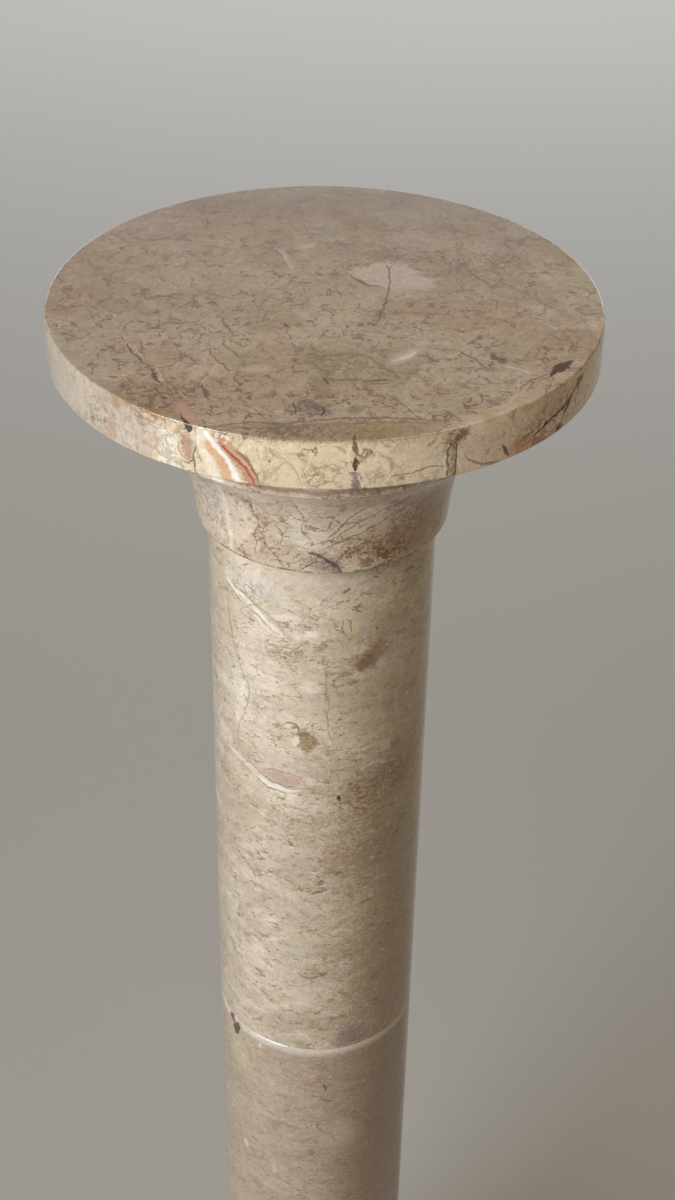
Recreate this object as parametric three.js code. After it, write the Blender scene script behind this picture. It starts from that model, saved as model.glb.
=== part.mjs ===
import * as THREE from 'three';

// A round marble pedestal column, turned in six pieces that stand on one another.
// Millimetres, +Z up. The origin is the centre of the plinth's underside.

// Plinth: the round slab that the column stands on.
const PLINTH_RADIUS = 140;
const PLINTH_THICKNESS = 30;
const PLINTH_ARRIS = 1.5;

// Base moulding: the capital's bell turned upside down, between plinth and shaft.
const BASE_HEIGHT = 96;
const BASE_FILLET_HEIGHT = 30;
const BASE_COVE_PROJECTION = 33;
const BASE_NECK_STEP = 6;

// Shaft: two plain drums of one radius, with no taper.
// The lower drum's upper arris is rounded, and catches the light below the joint.
const SHAFT_RADIUS = 61.7;
const LOWER_DRUM_LENGTH = 386;
const UPPER_DRUM_LENGTH = 367;
const JOINT_ROUND = 4;
const JOINT_EASE = 1;

// Capital: a bell that flares in a cove from a small overhanging neck to a straight fillet.
const CAPITAL_HEIGHT = 96;
const CAPITAL_FILLET_HEIGHT = 30;
const CAPITAL_COVE_PROJECTION = 33;
const CAPITAL_NECK_STEP = 6;

// Top slab: the round table that the capital carries.
// The upper part of its rim leans in a little, from a crease below the top.
const TOP_SLAB_RADIUS = 140;
const TOP_SLAB_THICKNESS = 25;
const TOP_SLAB_BEVEL_HEIGHT = 6;
const TOP_SLAB_BEVEL_DEPTH = 0.8;
const TOP_SLAB_LOWER_ARRIS = 1;

// Cove: a cubic curve, with its two handles as shares of its own height and projection.
const COVE_NECK_HANDLE = { out: 0.1, up: 0.5 };
const COVE_LIP_HANDLE = { out: 0.81, up: 0.23 };

// Fineness of the turned surfaces.
const SIDES = 64;
const ARRIS_STEPS = 4;
const COVE_STEPS = 14;

const MARBLE = { roughness: 0.22, metalness: 0 };
const marbleColours = {
  slab: 0xa8977f,
  bell: 0xb7a68a,
  upperDrum: 0xbdae93,
  lowerDrum: 0xb3a08a,
};

/** Points of a quarter circle about (centreRadius, centreHeight), starting at fromAngle. */
function quarterRound(centreRadius, centreHeight, size, fromAngle) {
  const toAngle = fromAngle + Math.PI / 2;
  const arc = new THREE.EllipseCurve(centreRadius, centreHeight, size, size, fromAngle, toAngle);
  return arc.getPoints(ARRIS_STEPS);
}

/** Half section of a plain round piece, with each arris eased or left sharp, from the axis and back. */
function drumProfile({ radius, height, lowerArris, upperArris }) {
  const points = [new THREE.Vector2(0, 0)];
  if (lowerArris > 0) {
    points.push(...quarterRound(radius - lowerArris, lowerArris, lowerArris, -Math.PI / 2));
  } else {
    points.push(new THREE.Vector2(radius, 0));
  }
  if (upperArris > 0) {
    points.push(...quarterRound(radius - upperArris, height - upperArris, upperArris, 0));
  } else {
    points.push(new THREE.Vector2(radius, height));
  }
  points.push(new THREE.Vector2(0, height));
  return points;
}

/** Half section of a slab with its lower arris eased and the upper part of its rim leaning in. */
function bevelledSlabProfile({ radius, thickness, lowerArris, bevelHeight, bevelDepth }) {
  return [
    new THREE.Vector2(0, 0),
    ...quarterRound(radius - lowerArris, lowerArris, lowerArris, -Math.PI / 2),
    new THREE.Vector2(radius, thickness - bevelHeight),
    new THREE.Vector2(radius - bevelDepth, thickness),
    new THREE.Vector2(0, thickness),
  ];
}

/** Half section of the bell, standing on its neck, with the fillet at the top. */
function bellProfile({ neckRadius, coveProjection, filletHeight, height }) {
  const lipRadius = neckRadius + coveProjection;
  const coveHeight = height - filletHeight;
  const cove = new THREE.CubicBezierCurve(
    new THREE.Vector2(neckRadius, 0),
    new THREE.Vector2(
      neckRadius + COVE_NECK_HANDLE.out * coveProjection,
      COVE_NECK_HANDLE.up * coveHeight,
    ),
    new THREE.Vector2(
      lipRadius - COVE_LIP_HANDLE.out * coveProjection,
      coveHeight - COVE_LIP_HANDLE.up * coveHeight,
    ),
    new THREE.Vector2(lipRadius, coveHeight),
  );
  return [
    new THREE.Vector2(0, 0),
    ...cove.getPoints(COVE_STEPS),
    new THREE.Vector2(lipRadius, height),
    new THREE.Vector2(0, height),
  ];
}

/** The same half section turned upside down. */
function upsideDown(profile, height) {
  return profile.map((point) => new THREE.Vector2(point.x, height - point.y)).reverse();
}

/** A marble piece turned from its half section, standing at the given height. */
function turnedPiece(name, profile, standsAt, colour) {
  const geometry = new THREE.LatheGeometry(profile, SIDES);
  geometry.rotateX(Math.PI / 2);
  const mesh = new THREE.Mesh(geometry, new THREE.MeshStandardMaterial({ color: colour, ...MARBLE }));
  mesh.name = name;
  mesh.position.z = standsAt;
  return mesh;
}

const baseStandsAt = PLINTH_THICKNESS;
const lowerDrumStandsAt = baseStandsAt + BASE_HEIGHT;
const upperDrumStandsAt = lowerDrumStandsAt + LOWER_DRUM_LENGTH;
const capitalStandsAt = upperDrumStandsAt + UPPER_DRUM_LENGTH;
const topSlabStandsAt = capitalStandsAt + CAPITAL_HEIGHT;

const plinthProfile = drumProfile({
  radius: PLINTH_RADIUS,
  height: PLINTH_THICKNESS,
  lowerArris: PLINTH_ARRIS,
  upperArris: PLINTH_ARRIS,
});

const baseProfile = bellProfile({
  neckRadius: SHAFT_RADIUS + BASE_NECK_STEP,
  coveProjection: BASE_COVE_PROJECTION,
  filletHeight: BASE_FILLET_HEIGHT,
  height: BASE_HEIGHT,
});

const lowerDrumProfile = drumProfile({
  radius: SHAFT_RADIUS,
  height: LOWER_DRUM_LENGTH,
  lowerArris: 0,
  upperArris: JOINT_ROUND,
});

const upperDrumProfile = drumProfile({
  radius: SHAFT_RADIUS,
  height: UPPER_DRUM_LENGTH,
  lowerArris: JOINT_EASE,
  upperArris: 0,
});

const capitalProfile = bellProfile({
  neckRadius: SHAFT_RADIUS + CAPITAL_NECK_STEP,
  coveProjection: CAPITAL_COVE_PROJECTION,
  filletHeight: CAPITAL_FILLET_HEIGHT,
  height: CAPITAL_HEIGHT,
});

const topSlabProfile = bevelledSlabProfile({
  radius: TOP_SLAB_RADIUS,
  thickness: TOP_SLAB_THICKNESS,
  lowerArris: TOP_SLAB_LOWER_ARRIS,
  bevelHeight: TOP_SLAB_BEVEL_HEIGHT,
  bevelDepth: TOP_SLAB_BEVEL_DEPTH,
});

const column = new THREE.Group();
column.add(
  turnedPiece('plinth', plinthProfile, 0, marbleColours.slab),
  turnedPiece('base_moulding', upsideDown(baseProfile, BASE_HEIGHT), baseStandsAt, marbleColours.bell),
  turnedPiece('lower_drum', lowerDrumProfile, lowerDrumStandsAt, marbleColours.lowerDrum),
  turnedPiece('upper_drum', upperDrumProfile, upperDrumStandsAt, marbleColours.upperDrum),
  turnedPiece('capital', capitalProfile, capitalStandsAt, marbleColours.bell),
  turnedPiece('top_slab', topSlabProfile, topSlabStandsAt, marbleColours.slab),
);

export default column;
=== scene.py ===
"""A round pedestal column of polished beige marble, in six turned pieces.

Each piece is turned on the column's axis and replaces its node of the frame. The marble is one
family of finishes: a cloudy beige body full of small brown squiggles, crossed by the veins, cracks
and inclusions that each piece has in its own places.
"""

import logging
import math
from dataclasses import dataclass, replace
from enum import Enum

import bmesh
import bpy
from mathutils import Matrix, Vector


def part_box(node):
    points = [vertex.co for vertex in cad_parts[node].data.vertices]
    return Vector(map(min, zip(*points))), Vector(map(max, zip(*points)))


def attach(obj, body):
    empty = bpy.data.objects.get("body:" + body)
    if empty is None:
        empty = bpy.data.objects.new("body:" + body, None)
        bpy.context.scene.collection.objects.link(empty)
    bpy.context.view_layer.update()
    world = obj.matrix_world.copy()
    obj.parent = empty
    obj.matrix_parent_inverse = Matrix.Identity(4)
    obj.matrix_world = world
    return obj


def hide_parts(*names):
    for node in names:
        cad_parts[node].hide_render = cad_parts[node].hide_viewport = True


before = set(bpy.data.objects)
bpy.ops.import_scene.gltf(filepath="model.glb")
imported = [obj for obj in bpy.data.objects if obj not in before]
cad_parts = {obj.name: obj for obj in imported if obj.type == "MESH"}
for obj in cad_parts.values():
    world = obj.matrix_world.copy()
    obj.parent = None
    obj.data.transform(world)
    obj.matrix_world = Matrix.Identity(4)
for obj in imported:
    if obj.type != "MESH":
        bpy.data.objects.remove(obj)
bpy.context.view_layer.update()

log = logging.getLogger("column")

Point = tuple[float, float]
Triple = tuple[float, float, float]
Colour = tuple[float, float, float, float]
Socket = bpy.types.NodeSocket

MM = 0.001
BODY = "root"

COLUMN_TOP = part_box("top_slab")[1].z
RIM_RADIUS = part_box("top_slab")[1].x / MM
SHAFT_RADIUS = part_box("upper_drum")[1].x
SHARP_ANGLE = math.radians(36)
FACE_WEIGHT = 60


class Tint(Enum):
    """The colours of the stone, as screen values of red, green and blue."""

    CREAM = 0xE9DFCB
    WHITE = 0xF1ECE2
    CHALK = 0xD9D2C6
    WHEAT = 0xE0CFB8
    FAWN = 0xD0B99E
    PALE = 0xD6C8B2
    BEIGE = 0xC8B8A0
    SAND = 0xBCAC95
    TAN = 0xAE9A80
    GREIGE = 0xB3A28B
    ROSY = 0xB69C8B
    OLIVE = 0xA69D82
    MOSS = 0x7D6F42
    SQUIGGLE = 0x79624C
    INK = 0x6A4220
    HAZEL = 0x8B7055
    KHAKI = 0x9A8660
    BROWN = 0x7A5C3F
    UMBER = 0x553C28
    BLACK = 0x321C0C
    PLUM = 0x83706A
    MOCHA = 0x836B55
    SLATE = 0x746A66
    OCHRE = 0xA9803F
    RUST = 0x8A5638
    BURNT = 0x6B3D1E
    FLESH = 0xAE8B76
    STRAW = 0xE0CFAE
    ORANGE = 0xCFA67C
    SIENNA = 0xBC8E6B
    EMBER = 0xA5553D
    ASH = 0xB5ADA0
    OXBLOOD = 0x5A2C20
    SALMON = 0xC7A08D
    SHELL = 0xCAB9AB
    LEMON = 0xC9C19A

    @property
    def colour(self) -> Colour:
        """The screen colour as light, with an alpha of one.

        Returns:
            Red, green, blue and alpha.
        """
        screen = [(self.value >> shift & 255) / 255 for shift in (16, 8, 0)]
        red, green, blue = ((c / 12.92) if c <= 0.04045 else ((c + 0.055) / 1.055) ** 2.4 for c in screen)
        return (red, green, blue, 1.0)


class Swell(Enum):
    """How a vein's width changes from its first end to its last, as (share of length, share of width)."""

    THREAD = ((0.0, 0.0), (0.1, 0.8), (0.5, 1.0), (0.9, 0.8), (1.0, 0.0))
    LENS = ((0.0, 0.0), (0.25, 0.55), (0.5, 1.0), (0.75, 0.55), (1.0, 0.0))
    WEDGE = ((0.0, 0.0), (0.08, 1.0), (0.5, 0.55), (1.0, 0.0))
    BAND = ((0.0, 0.0), (0.03, 1.0), (0.5, 0.9), (0.97, 1.0), (1.0, 0.0))


@dataclass(frozen=True)
class Vein:
    """A line in the stone.

    Its path is laid out in millimetres, and moves on along the straight line between its ends.
    """

    path: tuple[Point, ...]
    width: float
    tint: Tint
    strength: float = 0.8
    softness: float = 0.45
    swell: Swell = Swell.THREAD


@dataclass(frozen=True)
class Patch:
    """An oval inclusion, stain or cloud: its centre, half length and half width, and turn in degrees."""

    centre: Point
    half: Point
    tint: Tint
    turn: float = 0.0
    strength: float = 0.8
    softness: float = 0.25
    square: bool = False


@dataclass(frozen=True)
class Speckles(Patch):
    """An oval crowd of small curled marks."""

    softness: float = 0.6


@dataclass(frozen=True)
class Shard:
    """A fragment with an outline of its own, as radii at equal angles from the +x direction."""

    centre: Point
    radii: tuple[float, ...]
    tint: Tint
    strength: float = 0.85
    softness: float = 0.08


Mark = Vein | Patch | Shard
Marks = tuple[Mark, ...]


@dataclass(frozen=True)
class Noise:
    """Cloud noise: the size of its lumps in millimetres, its finer layers, their strength, its stirring."""

    size: float
    detail: float = 2.0
    roughness: float = 0.5
    distortion: float = 0.0


@dataclass(frozen=True)
class Drift:
    """A random shift of place: the size of its waves, and its reach from end to end, in millimetres."""

    size: float
    reach: float


@dataclass(frozen=True)
class Curls:
    """Short curled strokes, in millimetres: the borders of crumpled cells, broken here and there.

    The breaks end at sparse, from 0 for unbroken lines to 1 for none. Between them a stroke runs for
    the given number of cells, and its ends taper over the fray.
    """

    cell: float
    thickness: float
    sparse: float
    run: float = 0.75
    fray: float = 0.16
    edge: Point = (1.25, 0.55)
    apart: Triple = (71.0, 13.0, 37.0)


@dataclass(frozen=True)
class Cloud:
    """Soft clouds of one colour: their noise, the values they start and end at, and how strong they are."""

    noise: Noise
    start: float
    end: float
    strength: float
    tint: Tint
    stirred: bool = True


@dataclass(frozen=True)
class Body:
    """The stone's body on one piece: how brown, rosy and busy it is.

    The strengths run from 0 to 1. The stroke is the squiggles' half width in millimetres, the fineness
    the strength of the small ones, and the bedding how flat the patterns lie.
    """

    pale: Tint = Tint.PALE
    middle: Tint = Tint.BEIGE
    deep: Tint = Tint.TAN
    ink: Tint = Tint.SQUIGGLE
    blot: Tint = Tint.PLUM
    lumps: float = 0.4
    rosy: float = 0.35
    olive: float = 0.3
    spots: float = 0.3
    squiggles: float = 0.85
    stroke: float = 0.7
    worms: float = 0.5
    fineness: float = 0.5
    flecks: float = 0.3
    bedding: float = 1.5
    rim: float = 0.0

    def clouds(self) -> tuple[Cloud, ...]:
        """The clouds of the body, the lowest first.

        Returns:
            The clouds that lie over the deep colour.
        """
        return (
            Cloud(Noise(34.0, 3.0, 0.55), 0.42, 0.56, 1.0, self.middle),
            Cloud(Noise(9.0, 3.0, 0.6), 0.5, 0.72, self.lumps, self.pale),
            Cloud(Noise(52.0, distortion=0.6), 0.48, 0.66, self.rosy, Tint.ROSY, stirred=False),
            Cloud(Noise(41.0, distortion=0.3), 0.56, 0.4, self.olive, Tint.OLIVE),
        )

    def blots(self) -> Cloud:
        """The small dark spots."""
        return Cloud(Noise(6.0, 3.0, 0.6, 0.5), 0.58, 0.67, self.spots, self.blot)


@dataclass(frozen=True)
class Texture:
    """What every piece's stone shares, in millimetres: its shifts, noises and strokes, and its polish."""

    stir: Drift = Drift(14.0, 16.0)
    crumple: Drift = Drift(3.2, 7.0)
    crowd_crumple: Drift = Drift(3.0, 6.0)
    wander: Drift = Drift(9.0, 3.4)
    tremble: Drift = Drift(2.4, 1.7)
    ragged: Noise = Noise(1.8, 3.0, 0.65)
    raggedness: float = 1.3
    crowd: Curls = Curls(4.0, 0.95, 0.42)
    flecks: Curls = Curls(5.2, 0.6, 0.54)
    broad: Curls = Curls(11.0, 1.0, 0.46, 1.3)
    broad_strength: float = 0.85
    broad_shift: Triple = (29.0, 83.0, 51.0)
    fine: Curls = Curls(5.6, 0.7, 0.47)
    fine_least: float = 0.1
    busy: Noise = Noise(24.0)
    busy_span: Point = (0.4, 0.56)
    worms: Curls = Curls(11.0, 1.8, 0.56)
    worm_shift: Triple = (61.0, 7.0, 95.0)
    rim_depth: Point = (0.2, 1.4)
    rim_span: Point = (-110.0, -45.0)
    rim_least: float = 0.3
    rim_calm: float = 0.55
    grain: Noise = Noise(0.9, 2.0, 0.7)
    mottle: Noise = Noise(3.6, 3.0, 0.6)
    grain_span: Point = (0.3, 0.7)
    grain_depth: float = 0.14
    refraction: float = 1.5
    coat: float = 0.6
    coat_roughness: float = 0.07
    haze: Noise = Noise(23.0)
    roughness: Point = (0.16, 0.16)
    worn_roughness: float = 0.12
    dips: Noise = Noise(3.0, 3.0, 0.65)
    dip_strength: float = 0.35
    dip_depth: float = 0.12 * MM


class Graph:
    """Adds nodes to one tree and joins them."""

    nodes_in_row = 40
    spacing = (180, 260)
    mix_inputs = (0, 6, 7)
    mix_output = 2

    def __init__(self, tree: bpy.types.NodeTree) -> None:
        """Empties the tree and keeps it.

        Args:
            tree: the material's tree, or a group's.
        """
        self.tree = tree
        self.tree.nodes.clear()
        self.count = 0

    @classmethod
    def of_material(cls, material: bpy.types.Material) -> "Graph":
        """The graph of a material."""
        material.use_nodes = True
        return cls(material.node_tree)

    def node(self, kind: str, **settings: object) -> bpy.types.Node:
        """Adds a node.

        Args:
            kind: the node's type.
            settings: its properties.

        Returns:
            The new node.
        """
        made = self.tree.nodes.new(kind)
        row, place = divmod(self.count, self.nodes_in_row)
        made.location = (place * self.spacing[0], -row * self.spacing[1])
        self.count += 1
        for name, value in settings.items():
            setattr(made, name, value)
        return made

    def feed(self, socket: Socket, value: object) -> None:
        """Joins a socket to another, or sets its own value.

        Args:
            socket: the input.
            value: the output that feeds it, or a plain value.
        """
        if isinstance(value, Socket):
            self.tree.links.new(value, socket)
        else:
            socket.default_value = value

    def fed(self, kind: str, inputs: dict, output: str | int = 0, **settings: object) -> Socket:
        """Adds a node and feeds it.

        Args:
            kind: the node's type.
            inputs: what feeds each input, by its name or number.
            output: the name or number of the output that is wanted.
            settings: its properties.

        Returns:
            The output.
        """
        made = self.node(kind, **settings)
        for name, value in inputs.items():
            self.feed(made.inputs[name], value)
        return made.outputs[output]

    def math(self, operation: str, *values: object) -> Socket:
        """One sum on numbers."""
        return self.fed("ShaderNodeMath", dict(enumerate(values)), operation=operation)

    def vector(self, operation: str, *values: object) -> Socket:
        """One sum on vectors, with its number or vector result."""
        output = "Value" if operation in ("DOT_PRODUCT", "LENGTH") else "Vector"
        return self.fed("ShaderNodeVectorMath", dict(enumerate(values)), output, operation=operation)

    def scaled(self, where: object, factor: object) -> Socket:
        """A vector times a number."""
        return self.fed("ShaderNodeVectorMath", {0: where, "Scale": factor}, operation="SCALE")

    def noise(self, where: Socket, noise: Noise, output: str = "Fac") -> Socket:
        """Cloud noise.

        Args:
            where: the place, in millimetres.
            noise: the noise's settings.
            output: Fac for a number, Color for three.

        Returns:
            The noise, about 0.5.
        """
        inputs = {
            "Vector": where,
            "Scale": 1 / noise.size,
            "Detail": noise.detail,
            "Roughness": noise.roughness,
            "Distortion": noise.distortion,
        }
        return self.fed("ShaderNodeTexNoise", inputs, output)

    def drifted(self, where: Socket, by: Socket, drift: Drift) -> Socket:
        """A place shifted at random, up to about half the drift's reach each way.

        Args:
            where: the place that is shifted.
            by: the place that the shift is read at.
            drift: the size and reach of the shift.

        Returns:
            The shifted place.
        """
        waves = self.noise(by, Noise(drift.size, detail=1.0), "Color")
        centred = self.vector("SUBTRACT", waves, (0.5, 0.5, 0.5))
        return self.vector("ADD", where, self.scaled(centred, drift.reach))

    def fade(self, value: object, start: object, end: object, most: float = 1.0) -> Socket:
        """A smooth step from 0 at start to the most at end."""
        inputs = {"Value": value, "From Min": start, "From Max": end, "To Max": most}
        return self.fed("ShaderNodeMapRange", inputs, "Result", interpolation_type="SMOOTHSTEP")

    def local(self, where: object, centre: Vector, turn: float, scale: Point) -> tuple[Socket, Socket]:
        """A flat place seen from a mark: from its centre, along and across its turn, in shares of its size.

        Args:
            where: the place on the flat layout.
            centre: the mark's centre.
            turn: its turn, in radians.
            scale: its size along and across.

        Returns:
            The distances along and across.
        """
        away = self.vector("SUBTRACT", where, (*centre, 0.0))
        along = Vector((math.cos(turn), math.sin(turn), 0.0)) / scale[0]
        across = Vector((-math.sin(turn), math.cos(turn), 0.0)) / scale[1]
        return self.vector("DOT_PRODUCT", away, along), self.vector("DOT_PRODUCT", away, across)

    def hypotenuse(self, along: Socket, across: Socket) -> Socket:
        """The length of a step along and a step across."""
        squared = self.math("MULTIPLY_ADD", along, along, self.math("MULTIPLY", across, across))
        return self.math("SQRT", squared)

    def split(self, where: Socket) -> tuple[Socket, ...]:
        """The three parts of a vector.

        Args:
            where: the vector.

        Returns:
            Its x, y and z.
        """
        made = self.node("ShaderNodeSeparateXYZ")
        self.feed(made.inputs[0], where)
        return tuple(made.outputs)

    def mix(self, share: object, under: object, over: object) -> Socket:
        """Lays one colour over another by a share."""
        inputs = dict(zip(self.mix_inputs, (share, under, over)))
        return self.fed("ShaderNodeMix", inputs, self.mix_output, data_type="RGBA")

    def curve(self, value: object, points: tuple[Point, ...]) -> Socket:
        """A smooth curve through points whose two values are all from 0 to 1.

        Args:
            value: where the curve is read.
            points: its points, from left to right.

        Returns:
            The curve's height.
        """
        made = self.node("ShaderNodeFloatCurve")
        self.feed(made.inputs["Value"], value)
        made.mapping.extend = "HORIZONTAL"
        line = made.mapping.curves[0].points
        for spot, point in zip(line, (points[0], points[-1])):
            spot.location = point
        for point in points[1:-1]:
            line.new(*point)
        made.mapping.update()
        return made.outputs[0]

    def strokes(self, place: Socket, curls: Curls, widening: float = 1.0) -> Socket:
        """Short curled strokes.

        Args:
            place: the place, in millimetres.
            curls: the strokes' sizes.
            widening: what their half width is multiplied by.

        Returns:
            The share of stroke at each place.
        """
        inputs = {"Vector": place, "Scale": 1 / curls.cell}
        edge = self.fed("ShaderNodeTexVoronoi", inputs, "Distance", feature="DISTANCE_TO_EDGE")
        apart = self.vector("ADD", place, curls.apart)
        breaks = self.noise(apart, Noise(curls.run * curls.cell, roughness=0.6))
        width = self.fade(breaks, curls.sparse, curls.sparse + curls.fray, widening * curls.thickness)
        never_zero = self.math("ADD", width, 0.0001)
        away = self.math("DIVIDE", self.math("MULTIPLY", edge, curls.cell), never_zero)
        return self.fade(away, *curls.edge)


class Layout(Enum):
    """How a piece's surface is laid out flat for its marks."""

    FOLDED_OUT = "the top as it lies, with the rim folded out round it"
    UNROLLED = "the round side unrolled: azimuth degrees, and millimetres down from the column's top"


@dataclass
class Marble:
    """The finish of one piece: the stone's body, its marks in layers, and its polish.

    The grounds are stains under the squiggles, and on the drums painted shade as well. The other layers lie
    over them.
    """

    name: str
    body: Body
    layout: Layout
    radius: float
    top: float
    layers: dict[str, Marks]
    grounds: Marks = ()
    texture: Texture = Texture()

    def material(self) -> bpy.types.Material:
        """Makes the material.

        Returns:
            The finished material.
        """
        made = bpy.data.materials.new(self.name)
        under = self.layer("grounds", self.grounds)
        over = [self.layer(name, marks) for name, marks in self.layers.items()]
        texture = self.texture
        graph = Graph.of_material(made)
        place = graph.scaled(graph.node("ShaderNodeTexCoord").outputs["Object"], 1 / MM)
        bedded = graph.vector("MULTIPLY", place, (1.0, 1.0, self.body.bedding))
        stirred = graph.drifted(bedded, bedded, texture.stir)
        rag = graph.noise(place, texture.ragged)
        crowd_place = graph.drifted(bedded, bedded, texture.crowd_crumple)
        inputs = {
            "Flat": self.laid_out(graph, place),
            "Rag": graph.math("MULTIPLY_ADD", rag, texture.raggedness, -texture.raggedness / 2),
            "Crowd": graph.strokes(crowd_place, texture.crowd),
        }
        inputs["Colour"] = self.body_colour(graph, place, bedded, stirred)
        inputs["Colour"] = graph.fed("ShaderNodeGroup", inputs, node_tree=under)
        inputs["Colour"], worn = self.squiggled(graph, place, bedded, stirred, inputs["Colour"])
        for layer in over:
            inputs["Colour"] = graph.fed("ShaderNodeGroup", inputs, node_tree=layer)
        self.polished(graph, place, self.grained(graph, place, inputs["Colour"]), worn)
        return made

    def layer(self, name: str, marks: Marks) -> bpy.types.NodeTree:
        """Makes one layer of marks, each laid over the colour before it.

        Args:
            name: the layer's name.
            marks: its marks, the lowest first.

        Returns:
            The layer as a group.
        """
        tree = bpy.data.node_groups.new(f"{self.name}_{name}", "ShaderNodeTree")
        kinds = {"Flat": "NodeSocketVector", "Rag": "NodeSocketFloat", "Crowd": "NodeSocketFloat",
                 "Colour": "NodeSocketColor"}
        for socket, kind in kinds.items():
            tree.interface.new_socket(socket, in_out="INPUT", socket_type=kind)
        tree.interface.new_socket("Colour", in_out="OUTPUT", socket_type=kinds["Colour"])
        graph = Graph(tree)
        start = graph.node("NodeGroupInput")
        flat, rag, crowd, colour = (start.outputs[socket] for socket in kinds)
        for mark in marks:
            away = graph.math("ADD", self.mark_distance(graph, flat, mark), rag)
            share = graph.fade(away, 1 + mark.softness, 1 - mark.softness, mark.strength)
            if isinstance(mark, Speckles):
                share = graph.math("MULTIPLY", share, crowd)
            colour = graph.mix(share, colour, mark.tint.colour)
        graph.feed(graph.node("NodeGroupOutput").inputs["Colour"], colour)
        return tree

    def laid_out(self, graph: Graph, place: Socket) -> Socket:
        """The place on the flat layout, with its lines roughened as stone roughens them.

        Args:
            graph: the material's nodes.
            place: the place on the object, in millimetres.

        Returns:
            The flat place, in millimetres.
        """
        x, y, z = graph.split(place)
        drop = graph.math("SUBTRACT", self.top / MM, z)
        if self.layout is Layout.UNROLLED:
            turn = graph.math("ARCTAN2", x, graph.math("MULTIPLY", y, -1.0))
            arc = graph.math("MULTIPLY", turn, self.radius / MM)
            flat = graph.fed("ShaderNodeCombineXYZ", {0: arc, 1: drop})
        else:
            top = graph.fed("ShaderNodeCombineXYZ", {0: x, 1: y})
            reach = graph.math("MAXIMUM", graph.vector("LENGTH", top), 1.0)
            flat = graph.scaled(top, graph.math("DIVIDE", graph.math("ADD", reach, drop), reach))
        for drift in (self.texture.wander, self.texture.tremble):
            flat = graph.drifted(flat, place, drift)
        return graph.vector("MULTIPLY", flat, (1.0, 1.0, 0.0))

    @staticmethod
    def clouded(graph: Graph, cloud: Cloud, where: Socket, colour: object) -> Socket:
        """The colour with clouds over it."""
        noise = graph.noise(where, cloud.noise)
        return graph.mix(graph.fade(noise, cloud.start, cloud.end, cloud.strength), colour, cloud.tint.colour)

    def body_colour(self, graph: Graph, place: Socket, bedded: Socket, stirred: Socket) -> Socket:
        """The clouded body of the stone, before its squiggles.

        Args:
            graph: the material's nodes.
            place: the place on the object, in millimetres.
            bedded: the same place, flattened.
            stirred: the flattened place, stirred.

        Returns:
            The colour.
        """
        colour = self.body.deep.colour
        for cloud in self.body.clouds():
            colour = self.clouded(graph, cloud, stirred if cloud.stirred else bedded, colour)
        if self.body.rim:
            share = graph.math("MULTIPLY", self.rim_share(graph, place), self.body.rim)
            colour = graph.mix(share, colour, Tint.STRAW.colour)
        return colour

    def squiggled(
        self, graph: Graph, place: Socket, bedded: Socket, stirred: Socket, colour: Socket
    ) -> tuple[Socket, Socket]:
        """The colour with spots, flecks and squiggles over it.

        Args:
            graph: the material's nodes.
            place: the place on the object, in millimetres.
            bedded: the same place, flattened.
            stirred: the flattened place, stirred.
            colour: the body's colour.

        Returns:
            The colour, and the share of squiggles for the polish.
        """
        body, texture = self.body, self.texture
        colour = self.clouded(graph, body.blots(), stirred, colour)
        crumpled = graph.drifted(stirred, bedded, texture.crumple)
        flecks = graph.strokes(crumpled, texture.flecks)
        colour = graph.mix(graph.math("MULTIPLY", flecks, body.flecks), colour, Tint.CREAM.colour)
        shifted = graph.vector("ADD", crumpled, texture.broad_shift)
        broad = graph.strokes(shifted, texture.broad, body.stroke)
        fine = graph.strokes(crumpled, texture.fine, body.stroke)
        busy = graph.fade(graph.noise(place, texture.busy), *texture.busy_span)
        busier = graph.math("MULTIPLY_ADD", busy, body.fineness, texture.fine_least)
        fine = graph.math("MULTIPLY", fine, busier)
        marks = graph.math("MAXIMUM", fine, graph.math("MULTIPLY", broad, texture.broad_strength))
        if body.rim:
            calm = graph.math("MULTIPLY_ADD", self.rim_share(graph, place), -texture.rim_calm, 1.0)
            marks = graph.math("MULTIPLY", marks, calm)
        colour = graph.mix(graph.math("MULTIPLY", marks, body.squiggles), colour, body.ink.colour)
        apart = graph.vector("ADD", crumpled, texture.worm_shift)
        worms = graph.strokes(apart, texture.worms, body.stroke)
        colour = graph.mix(graph.math("MULTIPLY", worms, body.worms), colour, Tint.BROWN.colour)
        return colour, marks

    def rim_share(self, graph: Graph, place: Socket) -> Socket:
        """The share where the rim is made paler and calmer: below the top arris, and less at the left.

        Args:
            graph: the material's nodes.
            place: the place on the object, in millimetres.

        Returns:
            The share.
        """
        texture = self.texture
        x, _, z = graph.split(place)
        below = graph.fade(z, *(self.top / MM - depth for depth in texture.rim_depth))
        rising = graph.fade(x, *texture.rim_span, 1 - texture.rim_least)
        return graph.math("MULTIPLY", below, graph.math("ADD", rising, texture.rim_least))

    def grained(self, graph: Graph, place: Socket, colour: Socket) -> Socket:
        """The colour with the stone's fine grain and mottling through it, marks and all.

        Args:
            graph: the material's nodes.
            place: the place on the object, in millimetres.
            colour: the stone's colour.

        Returns:
            The grained colour.
        """
        depth = self.texture.grain_depth
        shade = 1 - depth
        for noise in (self.texture.grain, self.texture.mottle):
            share = graph.fade(graph.noise(place, noise), *self.texture.grain_span)
            shade = graph.math("MULTIPLY_ADD", share, depth, shade)
        return graph.scaled(colour, shade)

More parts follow.
